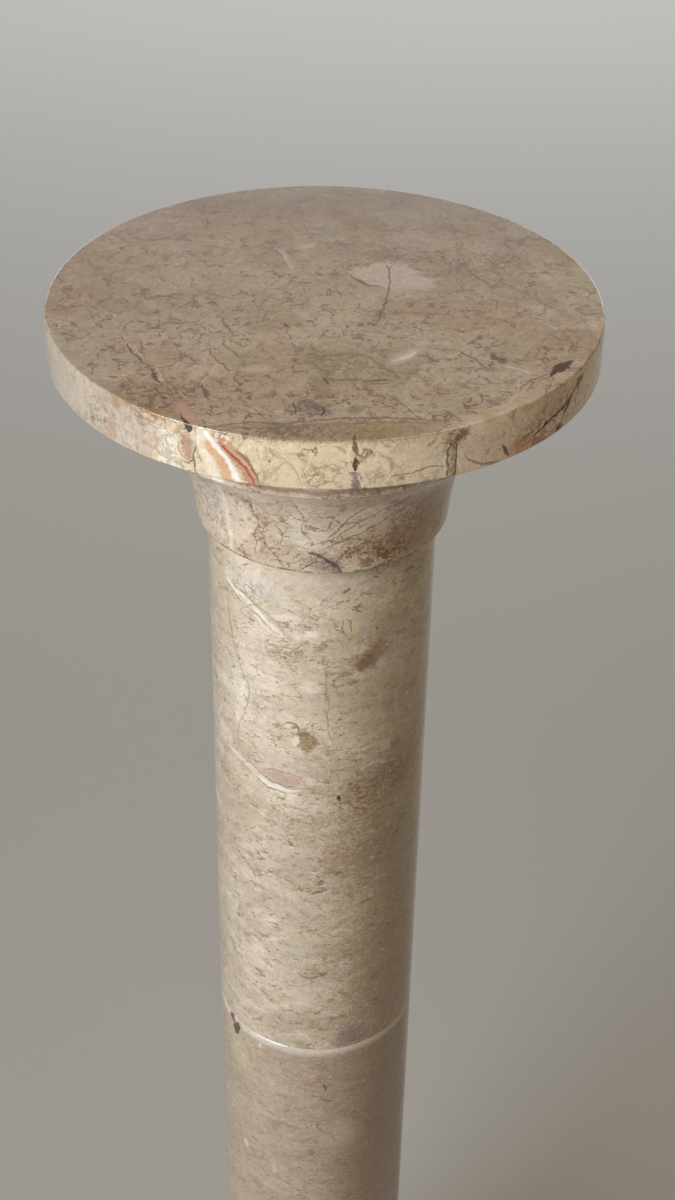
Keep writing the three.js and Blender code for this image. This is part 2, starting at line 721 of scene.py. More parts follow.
    def mark_distance(self, graph: Graph, flat: Socket, mark: Mark) -> Socket:
        """How far each place is from the middle of a mark, in shares of its size.

        Args:
            graph: the layer's nodes.
            flat: the place on the flat layout.
            mark: the vein, patch or shard.

        Returns:
            The distance, 1 at the mark's edge.
        """
        if isinstance(mark, Vein):
            return self.vein_distance(graph, flat, mark)
        if isinstance(mark, Patch):
            return self.patch_distance(graph, flat, mark)
        return self.shard_distance(graph, flat, mark)

    def spot(self, point: Point) -> Vector:
        """A mark's point on the flat layout, in millimetres.

        Args:
            point: the point as the mark gives it.

        Returns:
            The flat point.
        """
        if self.layout is Layout.UNROLLED:
            return Vector((math.radians(point[0]) * self.radius / MM, point[1]))
        return Vector(point)

    def vein_distance(self, graph: Graph, flat: Socket, vein: Vein) -> Socket:
        """How far from a curve drawn along the line between a vein's ends, in shares of its width.

        Args:
            graph: the layer's nodes.
            flat: the place on the flat layout.
            vein: the vein.

        Returns:
            The distance.
        """
        spots = [self.spot(point) for point in vein.path]
        line = spots[-1] - spots[0]
        along = line.normalized()
        across = Vector((-along.y, along.x))
        stations = [(spot - spots[0]).dot(along) / line.length for spot in spots]
        bends = [(spot - spots[0]).dot(across) for spot in spots]
        reach = 2 * max(*(abs(bend) for bend in bends), vein.width, 0.5)
        start = spots[0] - across * reach / 2
        turn = math.atan2(along.y, along.x)
        share, side = graph.local(flat, start, turn, (line.length, reach))
        course = tuple((s, 0.5 + b / reach) for s, b in zip(stations, bends))
        swell = tuple((s, max(w * vein.width / 2, 0.001) / reach) for s, w in vein.swell.value)
        away = graph.math("ABSOLUTE", graph.math("SUBTRACT", side, graph.curve(share, course)))
        return graph.math("DIVIDE", away, graph.curve(share, swell))

    def patch_distance(self, graph: Graph, flat: Socket, patch: Patch) -> Socket:
        """How far from the centre of an oval or square patch, in shares of its size.

        Args:
            graph: the layer's nodes.
            flat: the place on the flat layout.
            patch: the patch.

        Returns:
            The distance.
        """
        along, across = graph.local(flat, self.spot(patch.centre), math.radians(patch.turn), patch.half)
        if patch.square:
            return graph.math("MAXIMUM", graph.math("ABSOLUTE", along), graph.math("ABSOLUTE", across))
        return graph.hypotenuse(along, across)

    def shard_distance(self, graph: Graph, flat: Socket, shard: Shard) -> Socket:
        """How far from the centre of a fragment, in shares of its outline's radius at each angle.

        Args:
            graph: the layer's nodes.
            flat: the place on the flat layout.
            shard: the fragment.

        Returns:
            The distance.
        """
        longest = max(shard.radii)
        along, across = graph.local(flat, self.spot(shard.centre), 0.0, (longest, longest))
        turn = graph.math("MULTIPLY_ADD", graph.math("ARCTAN2", across, along), 1 / math.tau, 1.0)
        count = len(shard.radii)
        outline = tuple((n / count, shard.radii[n % count] / longest) for n in range(count + 1))
        radius = graph.curve(graph.math("FRACT", turn), outline)
        return graph.math("DIVIDE", graph.hypotenuse(along, across), radius)

    def polished(self, graph: Graph, place: Socket, colour: Socket, worn: Socket) -> None:
        """Ends the material in a polished surface, duller and lower where the stone is softer.

        Args:
            graph: the material's nodes.
            place: the place on the object, in millimetres.
            colour: the stone's colour.
            worn: the share of soft squiggles.
        """
        texture = self.texture
        shader = graph.node("ShaderNodeBsdfPrincipled")
        shader.inputs["IOR"].default_value = texture.refraction
        shader.inputs["Coat Weight"].default_value = texture.coat
        shader.inputs["Coat Roughness"].default_value = texture.coat_roughness
        rough = graph.math("MULTIPLY_ADD", graph.noise(place, texture.haze), *texture.roughness)
        graph.feed(shader.inputs["Base Color"], colour)
        rough = graph.math("MULTIPLY_ADD", worn, texture.worn_roughness, rough)
        graph.feed(shader.inputs["Roughness"], rough)
        bump = graph.node("ShaderNodeBump")
        bump.inputs["Strength"].default_value = texture.dip_strength
        bump.inputs["Distance"].default_value = texture.dip_depth
        graph.feed(bump.inputs["Height"], graph.noise(place, texture.dips))
        graph.feed(shader.inputs["Normal"], bump.outputs[0])
        output = graph.node("ShaderNodeOutputMaterial")
        graph.feed(output.inputs["Surface"], shader.outputs[0])


@dataclass(frozen=True)
class Ring:
    """A circle of a turned surface: its radius and height, in metres."""

    radius: float
    height: float


@dataclass(frozen=True)
class Arris:
    """An edge ring to ease, and the width and steps of the easing."""

    ring: Ring
    width: float
    steps: int = 3


@dataclass
class TurnedPiece:
    """A piece turned on the column's axis, in the place of its node."""

    node: str
    slot: str
    sides: int = 192
    merge: float = 0.02 * MM
    hold: float = 5.0 * MM

    def __post_init__(self) -> None:
        """Reads the node's box: its radius, its foot and its head."""
        low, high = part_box(self.node)
        self.radius = (high.x - low.x) / 2
        self.foot = low.z
        self.head = high.z

    def rings(self) -> list[Ring]:
        """The piece's outline from its foot to its head."""
        return [Ring(self.radius, self.foot), Ring(self.radius, self.head)]

    def arrises(self) -> list[Arris]:
        """The edges to ease."""
        return []

    def finish(self) -> Marble:
        """The piece's marble."""
        raise NotImplementedError

    def build(self) -> bpy.types.Object:
        """Turns the piece: a round face drawn up ring by ring, its arrises eased, its faces smoothed.

        Returns:
            The finished mesh, at the origin.
        """
        deselect()
        rings = self.held(self.rings())
        first = rings[0]
        bpy.ops.mesh.primitive_circle_add(
            vertices=self.sides, radius=first.radius, fill_type="NGON", location=(0, 0, first.height)
        )
        piece = bpy.context.active_object
        piece.name = f"{self.node}_marble"
        bpy.ops.object.transform_apply(location=True, rotation=True, scale=True)
        bpy.ops.object.mode_set(mode="EDIT")
        bpy.ops.mesh.select_all(action="SELECT")
        for below, above in zip(rings, rings[1:]):
            self.draw_up(below, above)
        bpy.ops.mesh.select_all(action="SELECT")
        bpy.ops.mesh.remove_doubles(threshold=self.merge)
        bpy.ops.mesh.normals_make_consistent(inside=False)
        for arris in self.arrises():
            self.ease(piece, arris)
        bpy.ops.object.mode_set(mode="OBJECT")
        smooth(piece)
        return piece

    def held(self, rings: list[Ring]) -> list[Ring]:
        """The outline with a ring added near each end of its long straight runs, to hold their shading.

        Args:
            rings: the outline's own rings.

        Returns:
            All the rings.
        """
        whole = [rings[0]]
        for below, above in zip(rings, rings[1:]):
            rise = above.height - below.height
            spread = above.radius - below.radius
            if rise > 4 * self.hold:
                for share in (self.hold / rise, 1 - self.hold / rise):
                    whole.append(Ring(below.radius + share * spread, below.height + share * rise))
            whole.append(above)
        return whole

    @staticmethod
    def draw_up(below: Ring, above: Ring) -> None:
        """Extrudes the selected face from one ring to the next.

        Args:
            below: the ring that it is at.
            above: the ring that it goes to.
        """
        rise = (0, 0, above.height - below.height)
        bpy.ops.mesh.extrude_region_move(TRANSFORM_OT_translate={"value": rise})
        share = above.radius / below.radius
        bpy.ops.transform.resize(value=(share, share, 1), center_override=(0, 0, above.height))

    def ease(self, piece: bpy.types.Object, arris: Arris) -> None:
        """Bevels one edge ring, found by its place.

        Args:
            piece: the mesh, in edit mode.
            arris: the ring and the width.
        """
        bpy.ops.mesh.select_all(action="DESELECT")
        bpy.ops.mesh.select_mode(type="EDGE")
        mesh = bmesh.from_edit_mesh(piece.data)
        for edge in mesh.edges:
            edge.select_set(all(self.lies_on(v.co, arris.ring) for v in edge.verts))
        bmesh.update_edit_mesh(piece.data)
        bpy.ops.mesh.bevel(offset=arris.width, segments=arris.steps, affect="EDGES")

    def lies_on(self, point: Vector, ring: Ring) -> bool:
        """Whether a point is on a ring."""
        level = abs(point.z - ring.height) < self.merge
        return level and abs(point.xy.length - ring.radius) < self.merge

    def dress(self, piece: bpy.types.Object) -> None:
        """Gives the piece its marble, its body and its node.

        Args:
            piece: the finished mesh.
        """
        piece.data.materials.clear()
        piece.data.materials.append(self.finish().material())
        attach(piece, BODY)
        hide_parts(self.node)


def deselect() -> None:
    """Leaves object mode with nothing selected."""
    if bpy.context.object is not None and bpy.context.object.mode != "OBJECT":
        bpy.ops.object.mode_set(mode="OBJECT")
    bpy.ops.object.select_all(action="DESELECT")


def smooth(piece: bpy.types.Object) -> None:
    """Shades a mesh smooth, with its broad faces kept flat.

    Args:
        piece: the mesh, in object mode.
    """
    deselect()
    piece.select_set(True)
    bpy.context.view_layer.objects.active = piece
    bpy.ops.object.shade_smooth_by_angle(angle=SHARP_ANGLE)
    bpy.ops.object.modifier_add(type="WEIGHTED_NORMAL")
    piece.modifiers[-1].weight = FACE_WEIGHT
    piece.modifiers[-1].keep_sharp = True
    bpy.ops.object.modifier_apply(modifier=piece.modifiers[-1].name)


def rim(azimuth: float, drop: float) -> Point:
    """A point of the top slab's rim on its folded-out layout.

    Args:
        azimuth: degrees from the front, to the right.
        drop: millimetres below the top.

    Returns:
        The flat point, in millimetres.
    """
    reach = RIM_RADIUS + drop
    turn = math.radians(azimuth)
    return (reach * math.sin(turn), -reach * math.cos(turn))


def on_rim(mark: Mark) -> Mark:
    """A mark laid out by azimuth and drop, moved to its place on the folded-out rim.

    Args:
        mark: the mark, with its points in degrees and millimetres.

    Returns:
        The mark on the flat layout.
    """
    if isinstance(mark, Vein):
        return replace(mark, path=tuple(rim(*point) for point in mark.path))
    return replace(mark, centre=rim(*mark.centre))


# The top slab's broad stains, under everything else.
SLAB_STAINS: Marks = (
    Patch((-92, 78), (42, 26), Tint.ROSY, 40, 0.45, 0.9),
    Patch((0, 95), (160, 66), Tint.KHAKI, 0, 0.4, 0.8),
    Speckles((-62, 108), (16, 10), Tint.MOCHA, 20),
    Patch((50, 46), (32, 14), Tint.MOCHA, -14, 0.3, 0.8),
    Speckles((52, 44), (30, 15), Tint.INK, -14, 0.5),
    Patch((22, 55), (16, 7), Tint.MOCHA, -20, 0.3, 0.8),
    Speckles((93, 47), (12, 10), Tint.MOCHA),
    Patch((15, -73), (27, 19), Tint.OLIVE, 10, 0.25, 0.8),
    Patch((-65, -65), (8, 6), Tint.ROSY, 60, 0.6, 0.7),
    Speckles((-80, -105), (17, 15), Tint.INK, -40, 0.8, 0.5),
    Patch((-82, -104), (19, 17), Tint.HAZEL, -40, 0.25, 0.7),
    Patch((-110, 0), (45, 90), Tint.MOCHA, 10, 0.25, 0.9),
    Speckles((-127, -38), (10, 4), Tint.OXBLOOD, -60, 0.5, 0.5),
    Patch((-20, 20), (60, 46), Tint.OLIVE, 0, 0.25, 0.9),
    Patch((0, 125), (130, 40), Tint.MOCHA, 0, 0.5, 0.9),
    Patch((60, -60), (40, 30), Tint.OLIVE, 0, 0.2, 0.9),
    Patch(rim(32, 12), (44, 16), Tint.CREAM, 32, 0.4, 0.7),
    Patch((108, -96), (16, 12), Tint.TAN, 50, 0.5, 0.7),
    Patch((0, -131), (62, 8), Tint.HAZEL, 0, 0.3, 0.5),
)

# Fragments, veins and cracks of the top, away from the front.
SLAB_BACK_MARKS: Marks = (
    Shard((33, 27), (15.5, 14, 14.5, 15.5, 14.8, 18, 21, 14.8, 14.5, 15.2, 17, 23), Tint.SHELL),
    Vein(((11, 30), (14, 24), (19.5, 17.5), (24, 14.6), (31, 12)), 2.6, Tint.OXBLOOD, 0.6, 0.6, Swell.LENS),
    Vein(((32, 43), (32.4, 29), (32, 12), (30.5, 0), (28, -14), (25, -31)), 0.9, Tint.UMBER, 0.7),
    Vein(((36, 42), (32.4, 34)), 0.8, Tint.BROWN, 0.5),
    Vein(((72, 34), (80.5, 22), (85, 13)), 1.6, Tint.SQUIGGLE, 0.6),
    Vein(((78, 25), (89, 21), (102, 6), (118, -12)), 2.0, Tint.MOSS, 0.45, 0.8),
    Vein(((66, 88), (74, 80), (82, 76)), 2.0, Tint.SQUIGGLE, 0.5, 0.8),
    Vein(((110, 78), (103, 68)), 3.0, Tint.SQUIGGLE, 0.5, 0.8),
    Vein(((-27.5, 58), (-23, 51.5), (-20, 43), (-18, 37), (-17, 32)), 2.6, Tint.CHALK, 0.35, 0.8),
    Vein(((-24, 52), (-22, 43), (-20, 36)), 0.8, Tint.SQUIGGLE, 0.6),
    Vein(((-107, 80), (-102, 68), (-97, 65)), 2.0, Tint.PLUM, 0.6, 0.6),
    Vein(((-64.5, 94), (-63, 82)), 1.6, Tint.SQUIGGLE, 0.7),
    Vein(((-79, 33), (-75, 34), (-71, 40)), 1.6, Tint.PLUM, 0.6),
    Vein(((-85, 49), (-83, 45), (-83, 40)), 2.4, Tint.MOSS, 0.5, 0.6),
    Vein(((107, -38), (102, -53), (100, -60)), 0.8, Tint.SQUIGGLE, 0.55),
    Patch((-107, 55), (1.4, 1.4), Tint.OXBLOOD, 0, 0.6, 0.5),
    Patch((-9, 60), (4, 2.4), Tint.PALE, 30, 0.6, 0.6),
)

# Fragments, veins and cracks of the top's front half.
SLAB_FRONT_MARKS: Marks = (
    Vein(((-94.5, -50), (-93, -56), (-89.5, -63), (-85, -69.5), (-81, -72.5)), 1.1, Tint.UMBER, 0.75),
    Vein(((-88, -46), (-87, -55), (-86.7, -61), (-85, -67), (-81, -72)), 1.0, Tint.BROWN, 0.7),
    Vein(((-90, -55), (-87.5, -62), (-84, -69)), 1.8, Tint.SHELL, 0.6, 0.6, Swell.LENS),
    Vein(((-81, -73), (-80, -79.5), (-76.5, -87), (-74.5, -91)), 2.4, Tint.UMBER, 0.85, 0.4, Swell.LENS),
    Vein(((-79.5, -74), (-77, -80), (-74.5, -88)), 1.2, Tint.SHELL, 0.7),
    Vein(((-74.5, -91), (-71, -95.5), (-68.5, -101), (-67.5, -106)), 0.9, Tint.BROWN, 0.7),
    Vein(((-81, -72.5), (-76.5, -74), (-72, -72), (-70, -68)), 0.9, Tint.BROWN, 0.65),
    Vein(((-80, -92), (-75, -99), (-71, -106)), 0.8, Tint.BROWN, 0.5),
    Patch((-62, -117), (12.5, 4.2), Tint.FLESH, -65, 0.9, 0.15),
    Patch((-62, -117), (10, 2.6), Tint.SALMON, -65, 0.5, 0.4),
    Vein(((-60.5, -129.5), (-63, -122), (-65, -116)), 3.4, Tint.BLACK, 0.9, 0.3, Swell.WEDGE),
    Vein(((-50.5, -21), (-49.3, -28), (-46, -34.5), (-45, -41)), 1.3, Tint.MOSS, 0.75),
    Vein(
        ((-48.8, -45), (-47.9, -50), (-44.6, -56), (-41, -61), (-38.3, -68), (-39, -75)),
        1.5, Tint.MOSS, 0.75,
    ),
    Vein(((-45, -55), (-42, -59.5), (-39.8, -64)), 2.0, Tint.UMBER, 0.6, 0.5, Swell.LENS),
    Vein(((-52.5, -52), (-53.3, -60), (-50.5, -66), (-47, -71), (-43.5, -78)), 1.0, Tint.SQUIGGLE),
    Vein(((-56.2, -89), (-54.8, -96), (-52, -104)), 2.6, Tint.UMBER, 0.7, 0.5, Swell.LENS),
    Speckles((-21, -29), (5, 3.4), Tint.OXBLOOD, -42, 0.75, 0.5),
    Patch((-21, -29), (4.4, 2.6), Tint.ROSY, -42, 0.6, 0.7),
    Patch((-40, -62), (6, 10), Tint.OLIVE, 24, 0.4, 0.5),
    Vein(((-20, -28), (-18, -32)), 1.6, Tint.UMBER),
    Vein(((-95, -96), (-94.5, -104), (-93, -112)), 3.6, Tint.OCHRE, 0.65, 0.7, Swell.LENS),
    Patch((-74, -117), (4.5, 3), Tint.OCHRE, -40, 0.6, 0.6),
    Vein(
        ((-57, -128), (-49, -128), (-44, -126.3), (-34, -124), (-28, -123.5), (-17, -125)),
        1.1, Tint.BROWN, 0.75,
    ),
    Vein(((-31, -123), (-24, -124.6), (-17, -125), (-11, -122.5)), 2.4, Tint.SLATE, 0.75, 0.5, Swell.LENS),
    Vein(
        ((-17, -125), (-8, -122), (0, -120.5), (23, -118), (44, -119), (56, -121), (64.5, -123)),
        1.3, Tint.BROWN, 0.75,
    ),
    Speckles((-5, -131), (40, 7), Tint.SQUIGGLE, 0, 0.8, 0.5),
    Patch((30, -128), (34, 8), Tint.KHAKI, 8, 0.45, 0.6),
    Vein(((-44, -127), (-20, -128), (0, -124.5), (22, -122), (50, -122)), 2.0, Tint.SLATE, 0.5, 0.8),
    Patch((25, -127), (8, 4), Tint.OCHRE, 4, 0.25, 0.7),
    Patch((-6, -111), (10, 5.5), Tint.PLUM, -8, 0.4, 0.7),
    Speckles((-6, -111), (10, 6), Tint.UMBER, -8, 0.6, 0.5),
    Vein(((-15, -106), (-12.6, -111), (-13.5, -116)), 1.2, Tint.BLACK, 0.75, 0.6),
    Vein(((-2.5, -107), (0, -111), (-1.6, -117)), 1.4, Tint.BLACK, 0.75, 0.6),
    Patch((16, -72), (24, 15), Tint.OLIVE, -20, 0.3, 0.6),
    Speckles((14, -71), (25, 15), Tint.MOSS, -18, 0.6, 0.4),
    Patch((0, -90), (5, 14), Tint.MOSS, 0, 0.5, 0.7),
    Vein(((-6, -67), (-1, -61), (6, -59.5), (12, -58), (21, -61), (25, -67)), 2.2, Tint.MOSS, 0.7, 0.7),
    Vein(((24, -64), (27, -71), (32, -76), (35, -82)), 2.4, Tint.MOSS, 0.65, 0.7),
    Vein(((-2, -80), (6, -83), (14, -82.5), (23, -86), (31, -83)), 2.2, Tint.MOSS, 0.75, 0.7),
    Vein(((-6, -66), (-3, -72), (1, -76), (0, -82)), 2.0, Tint.MOSS, 0.7, 0.7),
    Vein(((21, -84.5), (26, -83), (31, -82)), 1.8, Tint.BLACK, 0.75, 0.6, Swell.LENS),
    Vein(((0, -82), (2, -87)), 1.6, Tint.BLACK),
    Patch((38, -60), (10, 3.6), Tint.CHALK, 48, 0.5, 0.9),
    Vein(((31, -66), (36, -62), (41, -58), (46, -53)), 3.0, Tint.WHITE, 0.45, 0.9, Swell.LENS),
    Vein(((43, -49), (50, -45.5), (62, -46.5)), 3.4, Tint.CHALK, 0.3, 0.95),
    Patch((-31, -74), (6, 3), Tint.CHALK, 10, 0.3, 0.8),
    Vein(((64, -54), (70, -60), (74, -66), (79, -73)), 1.4, Tint.SQUIGGLE, 0.75),
    Shard(
        (80, -59.5),
        (3.2, 2.2, 3.6, 4.8, 2.2, 1.6, 1.5, 1.6, 2.2, 2.4, 3.6, 7.4), Tint.UMBER, 0.75, 0.12,
    ),
    Vein(((85, -67.5), (92, -70.5), (96, -73)), 1.3, Tint.WHITE, 0.4, 0.7),
    Vein(((105, -78), (109, -72), (113, -67), (119, -60.5)), 6.0, Tint.OXBLOOD, 0.92, 0.25, Swell.LENS),
    Vein(((106, -76), (110, -71), (114, -66), (119, -61)), 4.6, Tint.BLACK, 0.6, 0.5, Swell.LENS),
    Vein(((114, -69.5), (118, -69), (122, -69)), 0.9, Tint.OXBLOOD, 0.7),
    Vein(((107, -73), (98, -80.5), (93.4, -86), (90.5, -93)), 1.3, Tint.RUST, 0.65, 0.6),
    Vein(((106, -77), (99, -82.5), (95, -89)), 1.2, Tint.RUST, 0.6, 0.6),
    Vein(((91, -92), (86, -100), (81, -107)), 1.2, Tint.SHELL, 0.7, 0.5),
    Patch((79, -100), (4.2, 2.4), Tint.PLUM, 12, 0.5, 0.5),
    Patch((75, -116), (4, 3), Tint.OCHRE, -40, 0.5, 0.6),
    Patch((92, -105), (2.5, 3), Tint.OCHRE, 0, 0.5, 0.6),
    Vein(((30, -98), (37, -107), (42, -116), (44, -119)), 0.9, Tint.BROWN, 0.65),
    Vein(((54, -110), (60, -115.5), (62, -121)), 1.5, Tint.BROWN, 0.65),
    Patch((14, -111), (4.2, 3.6), Tint.BROWN, 30, 0.5, 0.4),
    Vein(((136, -24), (133, -36), (129, -50)), 1.8, Tint.ORANGE, 0.5, 0.8),
)

# Veins and fragments of the rim, mostly from left to right, as azimuth degrees and millimetres down, after a
# painted reflection at its left and a paler, warmer zone at its right.
SLAB_RIM_MARKS: Marks = (
    # Painted reflection: these two grey-white patches stand for the cool sheen of the window light on the
    # rim's left.
    Patch((-64, 12), (40, 15), Tint.ASH, -64, 0.7, 0.6),
    Patch((-44, 12), (26, 15), Tint.ASH, -44, 0.55, 0.6),
    Patch((34, 12), (48, 15), Tint.CREAM, 34, 0.4, 0.6),
    Patch((38, 12), (44, 18), Tint.SIENNA, 38, 0.25, 0.8),
    Patch((-43, 2.5), (3.4, 2.6), Tint.KHAKI, 40, 0.75, 0.5),
    Speckles((-48, 14), (12, 9), Tint.HAZEL, -48, 0.6),
    Patch((-44.8, 19.5), (4.5, 4), Tint.FLESH, 0, 0.6, 0.5),
    Patch((-50.5, 19.5), (3.5, 1.6), Tint.BROWN, -20, 0.5, 0.6),
    Patch((-36.6, 5), (2, 1.4), Tint.BROWN, 0, 0.5, 0.6),
    Vein(((-36, 24), (-34, 17), (-32, 8)), 7.0, Tint.ROSY, 0.5, 0.7),
    Patch((-26, 12), (2.8, 6.6), Tint.FLESH, -26, 0.9, 0.3),
    Vein(((-27.2, 7), (-27.6, 14), (-26.4, 18), (-24.8, 15)), 0.8, Tint.BROWN, 0.7),
    Patch((-26.8, 11), (1.0, 4.6), Tint.RUST, -26, 0.4, 0.7),
    Vein(((-24.4, 1), (-23.9, 9), (-24.6, 15), (-24.1, 25)), 1.0, Tint.UMBER, 0.75),
    Vein(((-27.5, 19), (-26, 19.5), (-24.6, 16.5)), 0.8, Tint.UMBER, 0.7),
    Vein(((-23.2, 0), (-22.8, 10), (-21.2, 18), (-19.8, 26)), 5.5, Tint.CREAM, 0.7, 0.6, Swell.BAND),
    Vein(((-21.4, 5), (-20.7, 10), (-18.9, 18), (-17.3, 26)), 4.6, Tint.ORANGE, 0.85, 0.6, Swell.BAND),
    Vein(((-19.6, 3), (-16.7, 10), (-14.4, 17), (-12.6, 26)), 6.2, Tint.SIENNA, 0.85, 0.4, Swell.BAND),
    Vein(((-22.2, 1), (-19.5, 9), (-17.1, 17), (-15.3, 26)), 2.7, Tint.WHITE, 0.9, 0.5, Swell.BAND),
    Vein(((-16, 8), (-13.4, 15), (-11.6, 24)), 1.8, Tint.RUST, 0.75, 0.6),
    Vein(((-20.6, 2), (-18.6, 7), (-16.2, 12), (-14, 18), (-12.6, 25)), 1.5, Tint.EMBER, 0.9, 0.5),
    Vein(((-17.4, 8), (-15, 13), (-12.8, 19), (-11.8, 25)), 0.6, Tint.SHELL, 0.7, 0.5),
    Speckles((-18.7, 3), (3.4, 2.8), Tint.WHITE, 0, 0.8, 0.5),
    Speckles((-10, 19), (7, 4), Tint.TAN, 28, 0.6),
    Vein(((-11.3, 4), (-9, 8), (-6.5, 10.5), (-5, 15), (-3.6, 24)), 1.2, Tint.TAN, 0.6, 0.5),
    Speckles((-1.6, 18), (4, 6), Tint.HAZEL, 0, 0.7),
    Vein(((5.1, 1), (4.9, 9), (5.3, 18)), 1.6, Tint.CREAM, 0.5, 0.6),
    Vein(((5.9, 7), (6.1, 11), (6, 16)), 2.9, Tint.BURNT, 1.0, 0.3, Swell.LENS),
    Vein(((6.1, -6), (5.9, 0), (6.1, 6)), 2.0, Tint.BURNT, 0.8, 0.5),
    Vein(((5.6, 16), (6.3, 20), (6, 26)), 3.8, Tint.PLUM, 0.85, 0.6, Swell.BAND),
    Vein(((6.6, 18), (6.9, 21), (7.4, 25)), 0.7, Tint.WHITE, 0.6),
    Speckles((9.5, 14), (7, 9), Tint.CREAM, 0, 0.7, 0.7),
    Speckles((9.5, 19), (5, 4), Tint.TAN),
    Vein(((10.6, 8), (12.4, 12), (12.2, 18)), 1.8, Tint.TAN, 0.7, 0.6),
    Vein(((12.5, 19.6), (15, 18.6), (18, 17.6), (23.6, 18.6)), 0.8, Tint.MOSS, 0.7),
    Patch((14.9, 21), (1.6, 1.4), Tint.RUST, 0, 0.6, 0.5),
    Speckles((25, 5), (5, 5), Tint.SQUIGGLE),
    Vein(((25.2, 0), (24.6, 10), (24.8, 17), (25, 26)), 5.2, Tint.HAZEL, 0.4, 0.8, Swell.BAND),
    Speckles((25, 14), (11, 2.2), Tint.UMBER, 115, 0.45),
    Patch((26.6, 4), (4, 2.2), Tint.BROWN, 60, 0.8, 0.6),
    Vein(((24, 6), (23.6, 15), (24, 25)), 1.0, Tint.UMBER, 0.75, 0.6),
    Vein(((25, 7), (25.5, 15), (25, 25)), 1.1, Tint.UMBER, 0.75, 0.6),
    Vein(((23.4, 10), (23, 17), (23.4, 25)), 0.9, Tint.WHITE, 0.6, 0.6),
    Vein(((26, 8), (25.7, 14), (26.6, 22)), 0.9, Tint.WHITE, 0.6, 0.6),
    Vein(((26.8, 14), (28.8, 19), (31, 22), (35.8, 24)), 1.2, Tint.MOSS, 0.65),
    Vein(((32, 5), (31.8, 11), (31.4, 19)), 0.8, Tint.CHALK, 0.5),
    Vein(((36.2, 15), (36.8, 19), (38, 23.5)), 3.2, Tint.OXBLOOD, 0.85, 0.5, Swell.LENS),
    Patch((41, 20), (8, 4.5), Tint.SIENNA, 40, 0.75, 0.7),
    Speckles((46, 17), (16, 8), Tint.RUST, 46, 0.7),
    Speckles((56, 10), (14, 9), Tint.BURNT, 56, 0.5, 0.7),
    Vein(((43.4, 19), (46, 17), (48.6, 15.2), (52, 13)), 1.1, Tint.BLACK, 1.0, 0.5),
    Vein(((46.2, 17), (47.6, 16), (49, 15)), 2.2, Tint.BLACK, 1.0, 0.4, Swell.LENS),
    Vein(
        ((49.6, 14.8), (52.6, 13.4), (55.4, 11.4), (58, 8), (60, 4)),
        2.2, Tint.BLACK, 1.0, 0.5, Swell.LENS,
    ),
    Vein(((53, 20), (54.8, 15.4), (56.3, 11.6), (57, 8.6)), 2.6, Tint.BLACK, 0.95, 0.5, Swell.LENS),
    Vein(((57, 9.5), (59.5, 6), (62, 3)), 3.4, Tint.UMBER, 0.8, 0.6, Swell.LENS),
    Patch((52.3, 22.6), (3.4, 2.4), Tint.OXBLOOD, 50, 0.95, 0.5),
    Patch((48, 24), (8, 1.6), Tint.OXBLOOD, 46, 0.5, 0.6),
)


@dataclass
class TopSlab(TurnedPiece):
    """The round table: flat on top, with the upper part of its rim leaning in from a crease."""

    node: str = "top_slab"
    slot: str = "slab_marble"
    sides: int = 256
    bevel_height: float = 6.0 * MM
    bevel_depth: float = 0.8 * MM
    edge_ease: float = 0.7 * MM
    crease_ease: float = 0.8 * MM
    lower_ease: float = 1.0 * MM

    def rings(self) -> list[Ring]:
        """Foot, crease and head."""
        crease = Ring(self.radius, self.head - self.bevel_height)
        return [Ring(self.radius, self.foot), crease, Ring(self.radius - self.bevel_depth, self.head)]

    def arrises(self) -> list[Arris]:
        """The lower arris, the crease and the upper edge."""
        eases = (self.lower_ease, self.crease_ease, self.edge_ease)
        return [Arris(ring, ease) for ring, ease in zip(self.rings(), eases)]

    def finish(self) -> Marble:
        """Greige marble with the large shell-pink fragment and the banded vein of the rim.

        Returns:
            The marble.
        """
        body = Body(
            Tint.BEIGE, Tint.SAND, Tint.TAN, Tint.INK, Tint.MOCHA,
            rosy=0.15, olive=0.3, spots=0.5, squiggles=0.95, worms=0.7, flecks=0.2, bedding=1.0, rim=0.88,
        )
        rim_marks = tuple(on_rim(mark) for mark in SLAB_RIM_MARKS)
        layers = {"back": SLAB_BACK_MARKS, "front": SLAB_FRONT_MARKS, "rim": rim_marks}
        return Marble(self.slot, body, Layout.FOLDED_OUT, self.radius, self.head, layers, SLAB_STAINS)


